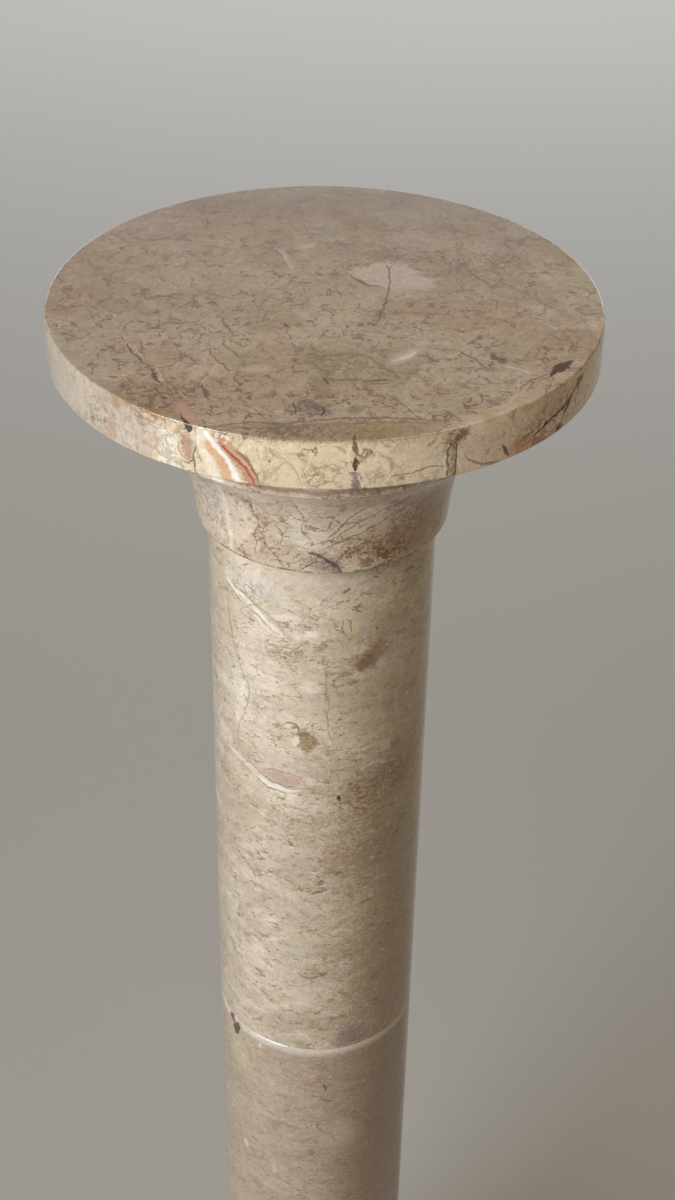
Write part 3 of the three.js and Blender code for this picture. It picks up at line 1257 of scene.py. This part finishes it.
@dataclass
class Bell(TurnedPiece):
    """A bell that flares in a cove from a small overhanging neck to a straight fillet."""

    upright: bool = True
    neck_step: float = 6.0 * MM
    fillet_height: float = 30.0 * MM
    neck_handle: Point = (0.1, 0.5)
    lip_handle: Point = (0.81, 0.23)
    cove_rings: int = 28
    neck_ease: float = 0.6 * MM
    lip_ease: float = 0.9 * MM
    mark_radius: float = 80.0 * MM

    def cove(self, share: float) -> Ring:
        """The cove's ring at a share of its curve, standing on its neck at height zero.

        Args:
            share: how far along the curve, from 0 at the neck to 1 at the lip.

        Returns:
            The ring.
        """
        neck = SHAFT_RADIUS + self.neck_step
        out = self.radius - neck
        tall = self.head - self.foot - self.fillet_height
        points = (
            Vector((neck, 0)),
            Vector((neck + self.neck_handle[0] * out, self.neck_handle[1] * tall)),
            Vector((self.radius - self.lip_handle[0] * out, (1 - self.lip_handle[1]) * tall)),
            Vector((self.radius, tall)),
        )
        rest = 1 - share
        weights = (rest**3, 3 * share * rest**2, 3 * share**2 * rest, share**3)
        place = sum((weight * point for weight, point in zip(weights, points)), Vector((0, 0)))
        return Ring(place.x, place.y)

    def rings(self) -> list[Ring]:
        """The bell's outline, neck below, or upside down.

        Returns:
            The rings from its foot to its head.
        """
        cove = [self.cove(n / self.cove_rings) for n in range(self.cove_rings + 1)]
        whole = [*cove, Ring(self.radius, self.head - self.foot)]
        if self.upright:
            return [Ring(ring.radius, self.foot + ring.height) for ring in whole]
        return [Ring(ring.radius, self.head - ring.height) for ring in reversed(whole)]

    def arrises(self) -> list[Arris]:
        """The neck's arris and the two of the fillet.

        Returns:
            The three arrises.
        """
        rings = self.rings()
        neck, lip, end = (rings[0], rings[-2], rings[-1]) if self.upright else (rings[-1], rings[1], rings[0])
        return [Arris(neck, self.neck_ease), Arris(lip, self.lip_ease), Arris(end, self.lip_ease)]


# The capital's broad stains, under its squiggles.
CAPITAL_STAINS: Marks = (
    Patch((-42, 94), (20, 26), Tint.TAN, 0, 0.35, 0.9),
    Patch((28, 108), (26, 16), Tint.OCHRE, 8, 0.3, 0.9),
    Patch((48, 92), (24, 30), Tint.OCHRE, 0, 0.2, 0.9),
    Patch((6, 90), (22, 24), Tint.CREAM, 0, 0.35, 0.9),
)

# The capital's veins, cracks and spotted patches, from left to right, between a band of painted shade under
# the slab and a dark line along the neck's lower edge.
CAPITAL_MARKS: Marks = (
    # Painted shade: a dark band all round, just under the slab's overhang.
    Vein(((-179, 51), (0, 51), (179, 51)), 3.4, Tint.UMBER, 0.5, 0.8, Swell.BAND),
    Patch((-52, 98), (14, 18), Tint.CHALK, 0, 0.3, 0.8),
    Speckles((-56, 92), (16, 18), Tint.SLATE, 0, 0.5),
    Vein(((-41.5, 72), (-42.5, 95), (-43, 122)), 2.8, Tint.CREAM, 0.6, 0.6, Swell.BAND),
    Speckles((-28, 80), (5, 5), Tint.SLATE, 35, 0.9),
    Patch((-25.6, 82), (2.2, 3.4), Tint.CHALK, 0, 0.6, 0.5),
    Vein(((-29.5, 76), (-28, 80), (-28.5, 87)), 1.0, Tint.UMBER, 0.6, 0.6),
    Vein(((-28, 86), (-27, 93), (-28.6, 101), (-27, 110)), 0.9, Tint.BROWN, 0.7, 0.6),
    Speckles((-26, 97), (5, 13), Tint.SQUIGGLE, 0, 0.7),
    Vein(((-24.5, 104), (-22.5, 110), (-19.6, 113.5), (-17, 120)), 0.9, Tint.BROWN, 0.75),
    Vein(((-15, 80), (-11, 90), (-9, 100), (-4, 108)), 4.4, Tint.CHALK, 0.25, 0.8),
    Speckles((-8, 100), (5, 9), Tint.WHITE, -20, 0.4),
    Patch((-7, 94), (2, 1.2), Tint.UMBER, 0, 0.6, 0.6),
    Patch((2, 115), (12, 6), Tint.PLUM, 20, 0.4, 0.7),
    Speckles((3, 115), (10, 4), Tint.SLATE, 25),
    Vein(((-6, 109), (-2, 108.5), (2, 113), (6, 117), (9, 120)), 2.4, Tint.BLACK, 0.7, 0.7),
    Vein(((-9, 120), (-5, 115), (-1, 112.5)), 1.0, Tint.UMBER, 0.7),
    Patch((30, 112), (22, 8), Tint.OCHRE, 8, 0.35, 0.8),
    Speckles((26, 112), (20, 8), Tint.UMBER, 8, 0.7),
    Patch((31, 113), (7, 4), Tint.KHAKI, 15, 0.6, 0.7),
    Speckles((32, 113), (9, 5), Tint.BURNT, 10),
    Speckles((16, 105), (14, 7), Tint.BROWN, 0, 0.65),
    Patch((19, 116), (3.4, 2.4), Tint.RUST, 0, 0.4, 0.6),
    Vein(((2, 99), (8, 89), (13, 80), (21, 75)), 0.9, Tint.BROWN, 0.75, 0.6),
    Vein(((6, 97), (14, 88), (22, 82), (31, 78)), 0.8, Tint.BROWN, 0.7, 0.6),
    Vein(((0, 105), (9, 99), (20, 93), (30, 84)), 0.9, Tint.BROWN, 0.7, 0.6),
    Vein(((6, 113), (12, 106), (20, 101), (28, 99)), 0.8, Tint.RUST, 0.65, 0.6),
    Vein(((-12, 74), (-7, 82), (-8, 92), (-4, 99)), 0.7, Tint.BROWN, 0.6, 0.6),
    Vein(((-22, 90), (-17, 96), (-18, 106)), 0.8, Tint.BROWN, 0.6, 0.6),
    Speckles((38, 94), (16, 18), Tint.BROWN, 0, 0.6),
    Patch((44, 98), (18, 16), Tint.BROWN, 0, 0.3, 0.8),
    # A dark line all round along the neck's lower edge, where it meets the shaft.
    Vein(((-179, 121), (0, 121), (179, 121)), 1.6, Tint.UMBER, 0.75, 0.7, Swell.BAND),
)


@dataclass
class Capital(Bell):
    """The bell under the top slab."""

    node: str = "capital"
    slot: str = "capital_marble"

    def finish(self) -> Marble:
        """Beige marble with a black crack and brown and ochre blotches along the neck.

        Returns:
            The marble.
        """
        # Painted light: the body is made paler than the shaft's, to make up for the shade on the cove, which
        # faces down.
        body = Body(
            Tint.CREAM, Tint.WHEAT, Tint.FAWN, Tint.BROWN, Tint.HAZEL,
            lumps=0.4, rosy=0.1, olive=0.3, spots=0.45, squiggles=0.85, stroke=0.6, worms=0.6, bedding=1.2,
        )
        layers = {"marks": CAPITAL_MARKS}
        return Marble(self.slot, body, Layout.UNROLLED, self.mark_radius, COLUMN_TOP, layers, CAPITAL_STAINS)


# The base moulding's few marks.
BASE_MARKS: Marks = (
    Vein(((-48, 880), (-30, 905), (-8, 915), (10, 940)), 1.2, Tint.BROWN, 0.6),
    Vein(((20, 885), (33, 905), (38, 930)), 3.0, Tint.CREAM, 0.6, 0.6, Swell.LENS),
    Patch((-18, 935), (11, 6), Tint.ROSY, 20, 0.55, 0.5),
    Patch((55, 915), (9, 12), Tint.OLIVE, 0, 0.5, 0.7),
)


@dataclass
class BaseMoulding(Bell):
    """The same bell upside down, on the plinth."""

    node: str = "base_moulding"
    slot: str = "base_marble"
    upright: bool = False

    def finish(self) -> Marble:
        """Beige marble, a little plainer than the capital's."""
        body = Body(rosy=0.4, olive=0.25, squiggles=0.55, bedding=1.2)
        return Marble(self.slot, body, Layout.UNROLLED, self.mark_radius, COLUMN_TOP, {"marks": BASE_MARKS})


# The upper drum's broad stains, under its squiggles, with painted shade on its right side.
UPPER_DRUM_STAINS_AND_SHADE: Marks = (
    # Painted shade: these two patches darken the right side, away from the window, more towards the bottom,
    # over stone that is browner there.
    Patch((62, 400), (42, 260), Tint.KHAKI, 0, 0.75, 0.7),
    Patch((60, 470), (38, 120), Tint.HAZEL, 0, 0.4, 0.8),
    Patch((-5, 225), (38, 34), Tint.CREAM, 0, 0.25, 0.9),
    Patch((-30, 180), (24, 30), Tint.CREAM, 0, 0.3, 0.9),
    Patch((36, 276), (26, 20), Tint.HAZEL, -10, 0.4, 0.8),
    Patch((14, 212), (12, 20), Tint.OLIVE, 0, 0.4, 0.8),
    Patch((-20, 330), (30, 26), Tint.ROSY, 10, 0.3, 0.9),
    Patch((24, 330), (22, 24), Tint.HAZEL, 0, 0.25, 0.9),
    Patch((-26, 420), (26, 22), Tint.CREAM, 0, 0.25, 0.9),
)

# The upper drum's veins, fragments and cracks, from the capital down.
UPPER_DRUM_MARKS: Marks = (
    Patch((-2, 130), (26, 12), Tint.PALE, 0, 0.6, 0.6),
    Patch((-34, 141), (16, 7), Tint.CHALK, 0, 0.5, 0.6),
    Speckles((-38, 144), (14, 5), Tint.SLATE, -8, 0.5),
    Vein(
        ((-56, 145), (-49, 149.5), (-40, 152), (-33, 156), (-27, 162), (-18, 169)),
        2.6, Tint.CREAM, 0.85, 0.5,
    ),
    Vein(((-50, 151), (-42, 155), (-35, 159), (-28, 166), (-20, 170)), 1.6, Tint.CREAM, 0.75, 0.6),
    Vein(((-55, 148), (-46, 153.6), (-38, 157), (-31, 161), (-28, 167)), 0.8, Tint.HAZEL, 0.75),
    Vein(((-52, 147), (-41, 149.6), (-33, 152.4), (-25, 158), (-17, 168)), 0.7, Tint.HAZEL, 0.7),
    Vein(((-45, 163), (-38, 156), (-30, 150), (-25, 147)), 0.7, Tint.TAN, 0.7),
    Patch((-17, 156), (9, 3.2), Tint.CREAM, 0, 0.8, 0.5),
    Speckles((-13, 160), (10, 3.4), Tint.HAZEL, 8, 0.8, 0.5),
    Patch((-9, 167), (4, 1.8), Tint.CREAM, 0, 0.7, 0.4, square=True),
    Speckles((-20, 178), (12, 9), Tint.HAZEL, 0, 0.55),
    Patch((-4.8, 164), (3, 2), Tint.WHITE, -8, 0.75, 0.4, square=True),
    Patch((15, 159.5), (4.6, 4.8), Tint.LEMON, 4, 0.9, 0.12, square=True),
    Vein(((12.5, 155), (14.5, 159), (15.5, 164)), 0.8, Tint.BROWN, 0.7),
    Vein(((11, 155), (11.2, 164.5), (14, 166)), 0.9, Tint.SQUIGGLE, 0.6),
    Vein(((-16.5, 178), (-11, 174), (-5.5, 169.5)), 0.8, Tint.BROWN, 0.6),
    Patch((27, 183), (10, 6), Tint.HAZEL, -30, 0.5, 0.6),
    Shard((27, 184), (8, 5, 4.5, 5, 7, 11, 8, 5, 4.5, 5, 8, 11), Tint.BROWN, 0.6, 0.2),
    Speckles((29, 181), (8, 6), Tint.BROWN, -35, 0.95, 0.5),
    Patch((30, 180), (4.5, 3.4), Tint.OCHRE, -35, 0.5, 0.8),
    Patch((22, 187), (6, 2.6), Tint.BROWN, 10, 0.5, 0.8),
    Patch((32, 189.3), (2.8, 2.4), Tint.PALE, 0, 0.85, 0.3),
    Vein(((10.5, 138), (12.5, 137.4), (15, 135.4)), 1.6, Tint.BROWN, 0.75, 0.5),
    Vein(((25.5, 131), (28.5, 132.4)), 1.8, Tint.BROWN, 0.7),
    Vein(((45, 137), (49, 135), (53, 137)), 2.0, Tint.BROWN, 0.65),
    Patch((-4, 200.5), (6, 4), Tint.CREAM, 5, 0.6, 0.4),
    Patch((-44, 221), (6, 14), Tint.CREAM, 0, 0.4, 0.8),
    Speckles((-44, 214), (5, 9), Tint.WHITE, 0, 0.6),
    Speckles((40, 182), (9, 16), Tint.CHALK, 30, 0.55),
    Speckles((36, 274), (24, 14), Tint.BROWN, -10, 0.7),
    Vein(((44, 190), (46, 205), (43, 222), (47, 240)), 1.0, Tint.CHALK, 0.6, 0.7),
    Vein(((49, 176), (47, 192), (50, 214)), 0.8, Tint.CHALK, 0.6, 0.7),
    Patch((38, 215), (16, 40), Tint.OLIVE, 0, 0.35, 0.8),
    Vein(((3, 178), (3.6, 205), (4.4, 225), (7, 240)), 0.8, Tint.MOSS, 0.5, 0.7),
    Vein(((22, 262), (30, 259), (38, 263)), 2.2, Tint.CHALK, 0.5, 0.7),
    Patch((-14, 262), (16, 8), Tint.SHELL, 0, 0.45, 0.8),
    Vein(
        ((-53.7, 151), (-51.4, 176), (-44.4, 199), (-39, 214), (-41.3, 228), (-46.7, 246), (-47.5, 259)),
        0.9, Tint.MOSS, 0.5,
    ),
    Shard(
        (-7.5, 238.5),
        (7.6, 6.0, 6.4, 7.0, 5.2, 6.8, 5.4, 5.4, 7.6, 9.4, 6.6, 6.0), Tint.KHAKI, 0.8, 0.25,
    ),
    Speckles((-6.5, 237), (7, 6), Tint.BROWN, 30, 0.5, 0.4),
    Vein(((-18, 227.5), (-14, 226), (-10, 229.5)), 1.5, Tint.BROWN, 0.7),
    Patch((-12.4, 239), (1.5, 4.0), Tint.CREAM, 6, 0.9, 0.3, square=True),
    Vein(((-15, 230), (-11, 228), (-9, 233), (-5, 232)), 1.6, Tint.HAZEL, 0.8, 0.5),
    Patch((-19, 266.5), (12.5, 3.6), Tint.SALMON, 5, 0.55, 0.4),
    Patch((-20, 268), (11, 3), Tint.ROSY, 5, 0.5, 0.6),
    Vein(((-31, 266), (-24, 262.4), (-14, 262.6), (-8, 267)), 0.8, Tint.HAZEL, 0.6, 0.6),
    Vein(((-57, 263), (-45, 265), (-34, 269), (-25, 273.6), (-12, 274)), 1.7, Tint.CREAM, 0.75, 0.6),
    Vein(((-52, 264.4), (-41, 268.5), (-30, 273.5), (-20, 277), (-10, 276)), 1.0, Tint.CREAM, 0.6, 0.6),
    Vein(((-34, 271), (-26, 274.6), (-18, 275.4), (-8, 273.4)), 4.2, Tint.WHITE, 0.75, 0.6, Swell.LENS),
    Vein(((-40, 264.5), (-31, 269), (-22, 271.8), (-12, 270)), 0.9, Tint.BROWN, 0.6),
    Vein(((-36, 272), (-27, 276.5), (-16, 277.5)), 0.9, Tint.SQUIGGLE, 0.6),
    Vein(((-9, 272), (10, 268.5), (28, 262), (50, 248)), 1.2, Tint.TAN, 0.5, 0.8),
    Vein(((10.8, 277), (11.4, 279.5), (11.6, 282)), 2.6, Tint.BLACK, 0.95, 0.3, Swell.LENS),
    Vein(((11, 284), (16, 283.6), (21, 290), (26, 291)), 1.5, Tint.BROWN, 0.65, 0.6),
    Vein(((30, 284), (38, 281), (44, 286), (52, 283)), 2.6, Tint.TAN, 0.6, 0.7),
    Vein(((27, 300), (36, 296), (45, 299)), 2.2, Tint.HAZEL, 0.5, 0.7),
    Speckles((30, 310), (30, 26), Tint.HAZEL, 0, 0.5, 0.7),
    Patch((36, 249), (4, 4), Tint.CHALK, 0, 0.45, 0.5),
    Patch((44, 251), (4, 4), Tint.BROWN, 0, 0.45, 0.6),
    Vein(((-4, 352.5), (1, 351.5), (5, 349)), 1.8, Tint.BROWN, 0.75, 0.5),
    Vein(((9, 339), (12, 336.5), (15, 339.5)), 1.7, Tint.BROWN, 0.7, 0.5),
    Vein(((-16.5, 313), (-13.5, 317)), 1.6, Tint.BROWN, 0.7),
    Vein(((-10, 347), (-8.6, 352)), 1.4, Tint.BROWN, 0.65),
    Vein(((-9.5, 420), (-3.5, 423.5), (1.5, 422)), 1.6, Tint.BROWN, 0.65, 0.5),
    Vein(((25, 367), (29, 364.5), (31, 366)), 2.0, Tint.BROWN, 0.7),
    Vein(((-35, 396), (-27, 396.5)), 1.4, Tint.SQUIGGLE, 0.6),
    Patch((20, 479), (10, 9), Tint.PLUM, 0, 0.65, 0.6),
)


@dataclass
class UpperDrum(TurnedPiece):
    """The upper half of the shaft, its lower arris a little eased."""

    node: str = "upper_drum"
    slot: str = "upper_shaft_marble"
    lower_ease: float = 1.0 * MM
    ease_steps: int = 4

    def arrises(self) -> list[Arris]:
        """The arris at the joint."""
        return [Arris(self.rings()[0], self.lower_ease, self.ease_steps)]

    def finish(self) -> Marble:
        """Cream marble with sweeping pale veins and small square fragments.

        Returns:
            The marble.
        """
        body = Body(
            Tint.CREAM, Tint.PALE, Tint.BEIGE, Tint.HAZEL, Tint.HAZEL,
            lumps=0.7, rosy=0.3, olive=0.4, spots=0.3, squiggles=0.8, stroke=0.55, worms=0.7,
            fineness=0.3, flecks=0.5, bedding=2.0,
        )
        layers = {"marks": UPPER_DRUM_MARKS}
        return Marble(self.slot, body, Layout.UNROLLED, self.radius, COLUMN_TOP, layers, UPPER_DRUM_STAINS_AND_SHADE)


# The lower drum's broad patch under its squiggles: painted shade on its right side, away from the window,
# over stone that is browner there.
LOWER_DRUM_STAIN_AND_SHADE: Marks = (
    Patch((62, 600), (46, 200), Tint.HAZEL, 0, 0.85, 0.7),
)

# The lower drum's rounded arris with its painted sheen and glint, its dark inclusion and the marks further
# down.
LOWER_DRUM_MARKS: Marks = (
    # Painted highlight: a pale band all round the rounded arris, for the light that its polish catches.
    Vein(((-179, 490.5), (0, 490.5), (179, 490.5)), 7.0, Tint.CHALK, 0.6, 0.6, Swell.BAND),
    Patch((-52, 520), (9, 13), Tint.LEMON, -20, 0.55, 0.7),
    Shard(
        (-54.5, 498),
        (3.0, 4.0, 4.4, 6.0, 4.2, 3.4, 3.8, 4.6, 4.8, 6.2, 7.6, 4.4), Tint.UMBER, 1.0, 0.15,
    ),
    Patch((-59, 492), (3.4, 2.2), Tint.BURNT, 30, 0.9, 0.3),
    # Painted glint on the arris.
    Patch((-34, 497), (1.2, 2.4), Tint.WHITE, 10, 0.5, 0.4),
    Vein(((5, 520), (6.4, 524), (6.2, 528)), 2.4, Tint.UMBER, 0.75, 0.5, Swell.LENS),
    Vein(((3.5, 535), (10, 538)), 1.4, Tint.BROWN, 0.6),
    Vein(((2, 557), (4.5, 567), (11, 572), (13, 579)), 2.0, Tint.MOSS, 0.5, 0.7),
    Patch((17, 572), (11, 11), Tint.CHALK, 0, 0.35, 0.8),
    Patch((-22.7, 566.7), (3.2, 2.6), Tint.PLUM, 0, 0.5, 0.6),
    Patch((-1, 588), (2.4, 3), Tint.BROWN, 0, 0.5, 0.6),
    Vein(((-49, 600), (-45, 606)), 3.4, Tint.WHITE, 0.5, 0.8),
    Vein(((-26, 608), (-24.5, 618)), 2.6, Tint.CHALK, 0.5, 0.8),
    Vein(((-60, 700), (-20, 730), (10, 735), (50, 770)), 1.1, Tint.BROWN, 0.6),
    Vein(((-30, 800), (0, 790), (40, 820)), 3.2, Tint.CREAM, 0.55, 0.6, Swell.LENS),
    Patch((25, 680), (10, 7), Tint.ROSY, 30, 0.5, 0.5),
)


@dataclass
class LowerDrum(TurnedPiece):
    """The lower half of the shaft, its upper arris rounded where it meets the upper half."""

    node: str = "lower_drum"
    slot: str = "lower_shaft_marble"
    upper_round: float = 4.0 * MM
    round_steps: int = 8

    def arrises(self) -> list[Arris]:
        """The rounded arris at the joint."""
        return [Arris(self.rings()[-1], self.upper_round, self.round_steps)]

    def finish(self) -> Marble:
        """Duller, pinker marble with a dark inclusion at the joint.

        Returns:
            The marble.
        """
        body = Body(
            middle=Tint.SAND, deep=Tint.GREIGE, ink=Tint.HAZEL,
            rosy=0.45, olive=0.2, squiggles=0.75, stroke=0.55, fineness=0.35, bedding=2.0,
        )
        layers = {"marks": LOWER_DRUM_MARKS}
        return Marble(self.slot, body, Layout.UNROLLED, self.radius, COLUMN_TOP, layers, LOWER_DRUM_STAIN_AND_SHADE)


# The plinth's few marks, on its top and its folded-out rim.
PLINTH_MARKS: Marks = (
    Vein(((-120, -70), (-60, -108), (-10, -124), (60, -130), (120, -100)), 1.2, Tint.BROWN, 0.6),
    Vein(((40, -150), (70, -120), (120, -60)), 2.8, Tint.CREAM, 0.55, 0.6, Swell.LENS),
    Patch((-70, -120), (14, 7), Tint.ROSY, 30, 0.5, 0.5),
    Patch((-110, 60), (16, 22), Tint.PLUM, 0, 0.35, 0.8),
    Vein(((-60, 150), (0, 125), (70, 115), (130, 60)), 1.2, Tint.SQUIGGLE, 0.6),
)


@dataclass
class Plinth(TurnedPiece):
    """The round slab underneath."""

    node: str = "plinth"
    slot: str = "plinth_marble"
    sides: int = 256
    edge_ease: float = 1.5 * MM

    def arrises(self) -> list[Arris]:
        """Its two arrises."""
        return [Arris(ring, self.edge_ease) for ring in self.rings()]

    def finish(self) -> Marble:
        """Greige marble with a few plain veins."""
        body = Body(rosy=0.45, olive=0.35, bedding=1.0)
        return Marble(self.slot, body, Layout.FOLDED_OUT, self.radius, self.head, {"marks": PLINTH_MARKS})


@dataclass(frozen=True)
class SoftLight:
    """A rectangular light: where it hangs, what it points at, its width and height, power and colour."""

    name: str
    place: Triple
    target: Triple
    size: Point
    power: float
    tint: Triple

    def hang(self) -> None:
        """Adds the light to the scene."""
        deselect()
        bpy.ops.object.light_add(type="AREA", location=self.place)
        light = bpy.context.active_object
        light.name = self.name
        light.data.shape = "RECTANGLE"
        light.data.size, light.data.size_y = self.size
        light.data.energy = self.power
        light.data.color = self.tint
        facing = (Vector(self.target) - Vector(self.place)).to_track_quat("-Z", "Y")
        light.rotation_mode = "QUATERNION"
        light.rotation_quaternion = facing


@dataclass
class Studio:
    """The floor, the lights and the camera.

    The camera's distances are in shares of the slab's radius, its turns are in radians, and its
    focal length and the photograph's height are in pixels.
    """

    floor_size: float = 30.0
    floor_tint: Colour = (0.44, 0.43, 0.395, 1.0)
    floor_roughness: float = 0.6
    air_tint: Colour = (0.44, 0.325, 0.205, 1.0)
    air_strength: float = 0.48
    lights: tuple[SoftLight, ...] = (
        SoftLight("window", (-1.02, -0.89, 1.42), (0.0, 0.0, 0.92), (0.9, 1.0), 25.0, (0.95, 0.98, 1.04)),
        SoftLight(
            "low_window", (-1.25, -0.65, 0.26), (-0.07, -0.12, 0.99), (0.21, 0.42), 1.15, (0.84, 0.96, 1.12)
        ),
        SoftLight("ceiling", (0.72, -0.62, 1.95), (0.05, -0.05, 0.95), (0.7, 0.7), 4.2, (1.0, 0.93, 0.8)),
        SoftLight("far_wash", (0.3, 4.3, 1.7), (0.3, 2.2, 0.0), (5.0, 1.6), 84.0, (0.9, 0.98, 1.08)),
    )
    image_height: float = 1200.0
    focal_pixels: float = 1889.0
    sensor: float = 36.0
    nearest: float = 0.05
    slab_radius: float = 0.14
    camera_back: float = 6.1182
    camera_up: float = 3.0656
    camera_tilt: float = 0.6228
    camera_pan: float = 0.0107
    camera_roll: float = 0.0199

    def lay_floor(self) -> None:
        """Lays a plain pale floor."""
        deselect()
        bpy.ops.mesh.primitive_plane_add(size=self.floor_size, location=(0, 0, 0))
        floor = bpy.context.active_object
        floor.name = "floor"
        material = bpy.data.materials.new("floor_paint")
        graph = Graph.of_material(material)
        shader = graph.node("ShaderNodeBsdfPrincipled")
        shader.inputs["Base Color"].default_value = self.floor_tint
        shader.inputs["Roughness"].default_value = self.floor_roughness
        output = graph.node("ShaderNodeOutputMaterial")
        graph.feed(output.inputs["Surface"], shader.outputs[0])
        floor.data.materials.append(material)

    def light(self) -> None:
        """Hangs the soft lights in warm air."""
        world = bpy.data.worlds.new("studio_air")
        bpy.context.scene.world = world
        world.use_nodes = True
        air = world.node_tree.nodes["Background"]
        air.inputs["Color"].default_value = self.air_tint
        air.inputs["Strength"].default_value = self.air_strength
        for light in self.lights:
            light.hang()

    def aim_camera(self) -> None:
        """Puts the camera where the photograph was taken from."""
        tilt, pan, roll = self.camera_tilt, self.camera_pan, self.camera_roll
        forward = Vector((math.sin(pan) * math.cos(tilt), math.cos(pan) * math.cos(tilt), -math.sin(tilt)))
        level = Vector((math.cos(pan), -math.sin(pan), 0))
        upright = level.cross(forward)
        right = level * math.cos(roll) + upright * math.sin(roll)
        up = upright * math.cos(roll) - level * math.sin(roll)
        lens = bpy.data.cameras.new("camera")
        lens.sensor_width = self.sensor
        lens.lens = self.focal_pixels / self.image_height * self.sensor
        lens.clip_start = self.nearest
        camera = bpy.data.objects.new("camera", lens)
        bpy.context.scene.collection.objects.link(camera)
        place = Vector((0, -self.camera_back, self.camera_up)) * self.slab_radius + Vector((0, 0, COLUMN_TOP))
        turn = Matrix((right, up, -forward)).transposed().to_4x4()
        camera.matrix_world = Matrix.Translation(place) @ turn
        bpy.context.scene.camera = camera

    @staticmethod
    def plain_colours() -> None:
        """Shows the light as it is, with no film look."""
        bpy.context.scene.view_settings.view_transform = "Standard"
        bpy.context.scene.view_settings.look = "None"


def main() -> None:
    """Builds the column and its studio."""
    logging.basicConfig(level=logging.INFO, format="%(name)s: %(message)s")
    studio = Studio()
    studio.plain_colours()
    studio.aim_camera()
    studio.lay_floor()
    studio.light()
    for part in (Plinth(), BaseMoulding(), LowerDrum(), UpperDrum(), Capital(), TopSlab()):
        piece = part.build()
        part.dress(piece)
        nodes = piece.active_material.node_tree.nodes
        log.info("%s: %d faces, %d nodes", piece.name, len(piece.data.polygons), len(nodes))


if __name__ == "__main__":
    main()
